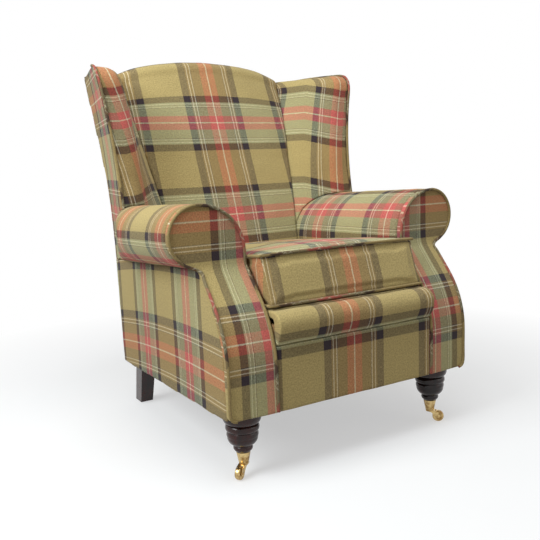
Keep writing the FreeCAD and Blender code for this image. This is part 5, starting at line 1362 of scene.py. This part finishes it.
@dataclass
class Seat:
    """Loose box cushion with its piping, the padded lip and the front border."""

    cushion: Laid = Laid(0.016, 0.0, 1.10)
    lip: Laid = Laid(-0.0335, -0.052, 1.04)
    border: Laid = Laid(-0.015, 0.375, 1.08)
    radius: float = 0.0036
    cord: float = 0.0032
    split: float = 0.43

    def build(self, frame: dict, finishes: Finishes) -> list[bpy.types.Object]:
        """Upholster the seat."""
        cushion = Pad(
            node="cushion_cover",
            lay=CushionCut().lay,
            laid=self.cushion,
            voxel=0.0045,
            rounds=5,
            ripple=0.0006,
            fill=0.85,
            body="seat_cushion",
            pressure=3.0,
            swell=0.005,
        )
        made = [
            cushion.build(frame, finishes),
            Pad("front_lip_roll", lay_lip, self.lip, 0.0035, 5, 0.0004).build(frame, finishes),
            Pad("front_border", lay_upright, self.border, 0.0035, 3, 0.0003).build(frame, finishes),
            self.rings(frame, finishes),
        ]
        return made

    def rings(self, frame: dict, finishes: Finishes) -> bpy.types.Object:
        """Piping round the upper and the lower edge of the cushion."""
        node = "cushion_piping"
        places, normals = vertex_arrays(frame["nodes"][node].data)
        core = places - normals * self.cord
        upper = core[:, 2] > self.split
        runs = tuple((loop_round(core[part], 240), True) for part in (upper, ~upper))
        cord = Piping("trim_" + node, (node,), runs, self.radius, 0.043, "seat_cushion")
        return cord.build(finishes)


@dataclass(frozen=True)
class Studio:
    """Floor, world, lamps and the camera at the photograph's viewing angle."""

    place: tuple[float, float, float] = (-0.98825, -1.69773, 0.70889)
    azimuth: float = 30.7
    pitch: float = 8.77
    roll: float = -2.10
    lens: float = 45.74
    sensor: float = 36.0
    ambient: float = 0.30
    floor_reach: float = 40.0
    near: float = 0.75
    far: float = 2.4
    veil: float = 0.5
    cool: tuple[float, float, float] = (0.93, 0.98, 1.0)
    warm: tuple[float, float, float] = (1.0, 0.95, 0.88)

    def build(self) -> None:
        """Set the scene round the chair."""
        self.camera()
        self.floor()
        self.world()
        self.lamp("key", (-2.3, -0.45, 2.1), (0.0, 0.0, 0.5), 1.5, 60.0, self.cool)
        self.lamp("top", (-0.3, -0.7, 2.9), (0.0, 0.1, 0.5), 1.6, 38.0, self.cool)
        self.lamp("fill", (1.9, -2.2, 1.3), (0.0, 0.0, 0.5), 1.6, 6.0, self.warm)

    def camera(self) -> None:
        """Camera with the photograph's place, heading, tilt, roll and lens."""
        turn, tilt, roll = (math.radians(v) for v in (self.azimuth, self.pitch, self.roll))
        ahead = Vector(
            (
                math.sin(turn) * math.cos(tilt),
                math.cos(turn) * math.cos(tilt),
                -math.sin(tilt),
            )
        )
        right = Vector((math.cos(turn), -math.sin(turn), 0.0))
        up = right.cross(ahead)
        side = right * math.cos(roll) + up * math.sin(roll)
        head = -right * math.sin(roll) + up * math.cos(roll)
        data = bpy.data.cameras.new("camera")
        data.lens = self.lens
        data.sensor_width = self.sensor
        data.sensor_height = self.sensor
        data.clip_end = 50.0
        camera = bpy.data.objects.new("camera", data)
        rows = Matrix((side, head, -ahead)).transposed().to_4x4()
        camera.matrix_world = Matrix.Translation(self.place) @ rows
        bpy.context.scene.collection.objects.link(camera)
        bpy.context.scene.camera = camera

    def floor(self) -> None:
        """Pale floor that keeps the chair's shadow."""
        mesh = bpy.data.meshes.new("floor")
        reach = self.floor_reach
        corners = [(-reach, -reach, 0), (reach, -reach, 0), (reach, reach, 0), (-reach, reach, 0)]
        mesh.from_pydata(corners, [], [(0, 1, 2, 3)])
        floor = new_object("floor", mesh)
        material, tree, shader = new_material("pale_floor")
        coordinate = tree.add("ShaderNodeTexCoord")
        cloud = tree.noise(coordinate.outputs["Object"], 3.0)
        colour = tree.ramp(cloud, [(0.0, (0.90, 0.90, 0.90, 1)), (1.0, (0.94, 0.94, 0.94, 1))])
        path = tree.add("ShaderNodeLightPath")
        seen = tree.maths("MAXIMUM", path.outputs["Is Camera Ray"], path.outputs["Is Glossy Ray"])
        colour = tree.blend("MIX", seen, (0.42, 0.40, 0.38, 1.0), colour)
        tree.feed(colour, shader.inputs["Base Color"])
        shader.inputs["Roughness"].default_value = 0.9
        shader.inputs["Specular IOR Level"].default_value = 0.1
        length = tree.add(
            "ShaderNodeVectorMath", operation="LENGTH", in_0=coordinate.outputs["Object"]
        )
        reach_out = tree.add(
            "ShaderNodeMapRange", in_0=length.outputs["Value"], in_1=self.near, in_2=self.far
        )
        bright = tree.add("ShaderNodeEmission", in_0=(1.0, 1.0, 1.0, 1.0), in_1=1.0)
        veil = tree.maths("MULTIPLY", tree.maths("ADD", reach_out.outputs[0], self.veil), seen)
        veil = tree.maths("MINIMUM", veil, 1.0)
        mixed = tree.add("ShaderNodeMixShader", in_0=veil)
        tree.feed(shader.outputs[0], mixed.inputs[1])
        tree.feed(bright.outputs[0], mixed.inputs[2])
        tree.feed(mixed.outputs[0], material.node_tree.nodes["Material Output"].inputs[0])
        mesh.materials.append(material)

    def world(self) -> None:
        """White where the camera sees it, soft light elsewhere."""
        world = bpy.data.worlds.new("studio")
        world.use_nodes = True
        bpy.context.scene.world = world
        tree = NodeTree(world.node_tree)
        ground = world.node_tree.nodes["Background"]
        ground.inputs["Color"].default_value = (1.0, 1.0, 1.0, 1.0)
        path = tree.add("ShaderNodeLightPath")
        seen = tree.maths("MAXIMUM", path.outputs["Is Camera Ray"], path.outputs["Is Glossy Ray"])
        lift = tree.maths("MULTIPLY", seen, 1.0 - self.ambient)
        tree.feed(tree.maths("ADD", lift, self.ambient), ground.inputs["Strength"])

    def lamp(
        self,
        name: str,
        place: tuple[float, float, float],
        target: tuple[float, float, float],
        size: float,
        power: float,
        colour: tuple[float, float, float],
    ) -> None:
        """Soft square lamp that looks at a target."""
        data = bpy.data.lights.new(name, "AREA")
        data.size = size
        data.energy = power
        data.color = colour
        lamp = bpy.data.objects.new(name, data)
        heading = Vector(target) - Vector(place)
        lamp.matrix_world = (
            Matrix.Translation(place) @ heading.to_track_quat("-Z", "Y").to_matrix().to_4x4()
        )
        bpy.context.scene.collection.objects.link(lamp)


def main() -> None:
    """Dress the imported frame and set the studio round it."""
    logging.basicConfig(level=logging.INFO, format="%(name)s: %(message)s")
    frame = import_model()
    bpy.context.scene.view_settings.view_transform = "Standard"
    finishes = Finishes()
    finishes.on_frame(frame)
    for group in (BackRest(), Wings(), Arms(), Seat()):
        for piece in group.build(frame, finishes):
            LOG.info("%s: %d faces", piece.name, len(piece.data.polygons))
    Studio().build()


if __name__ == "__main__":
    main()
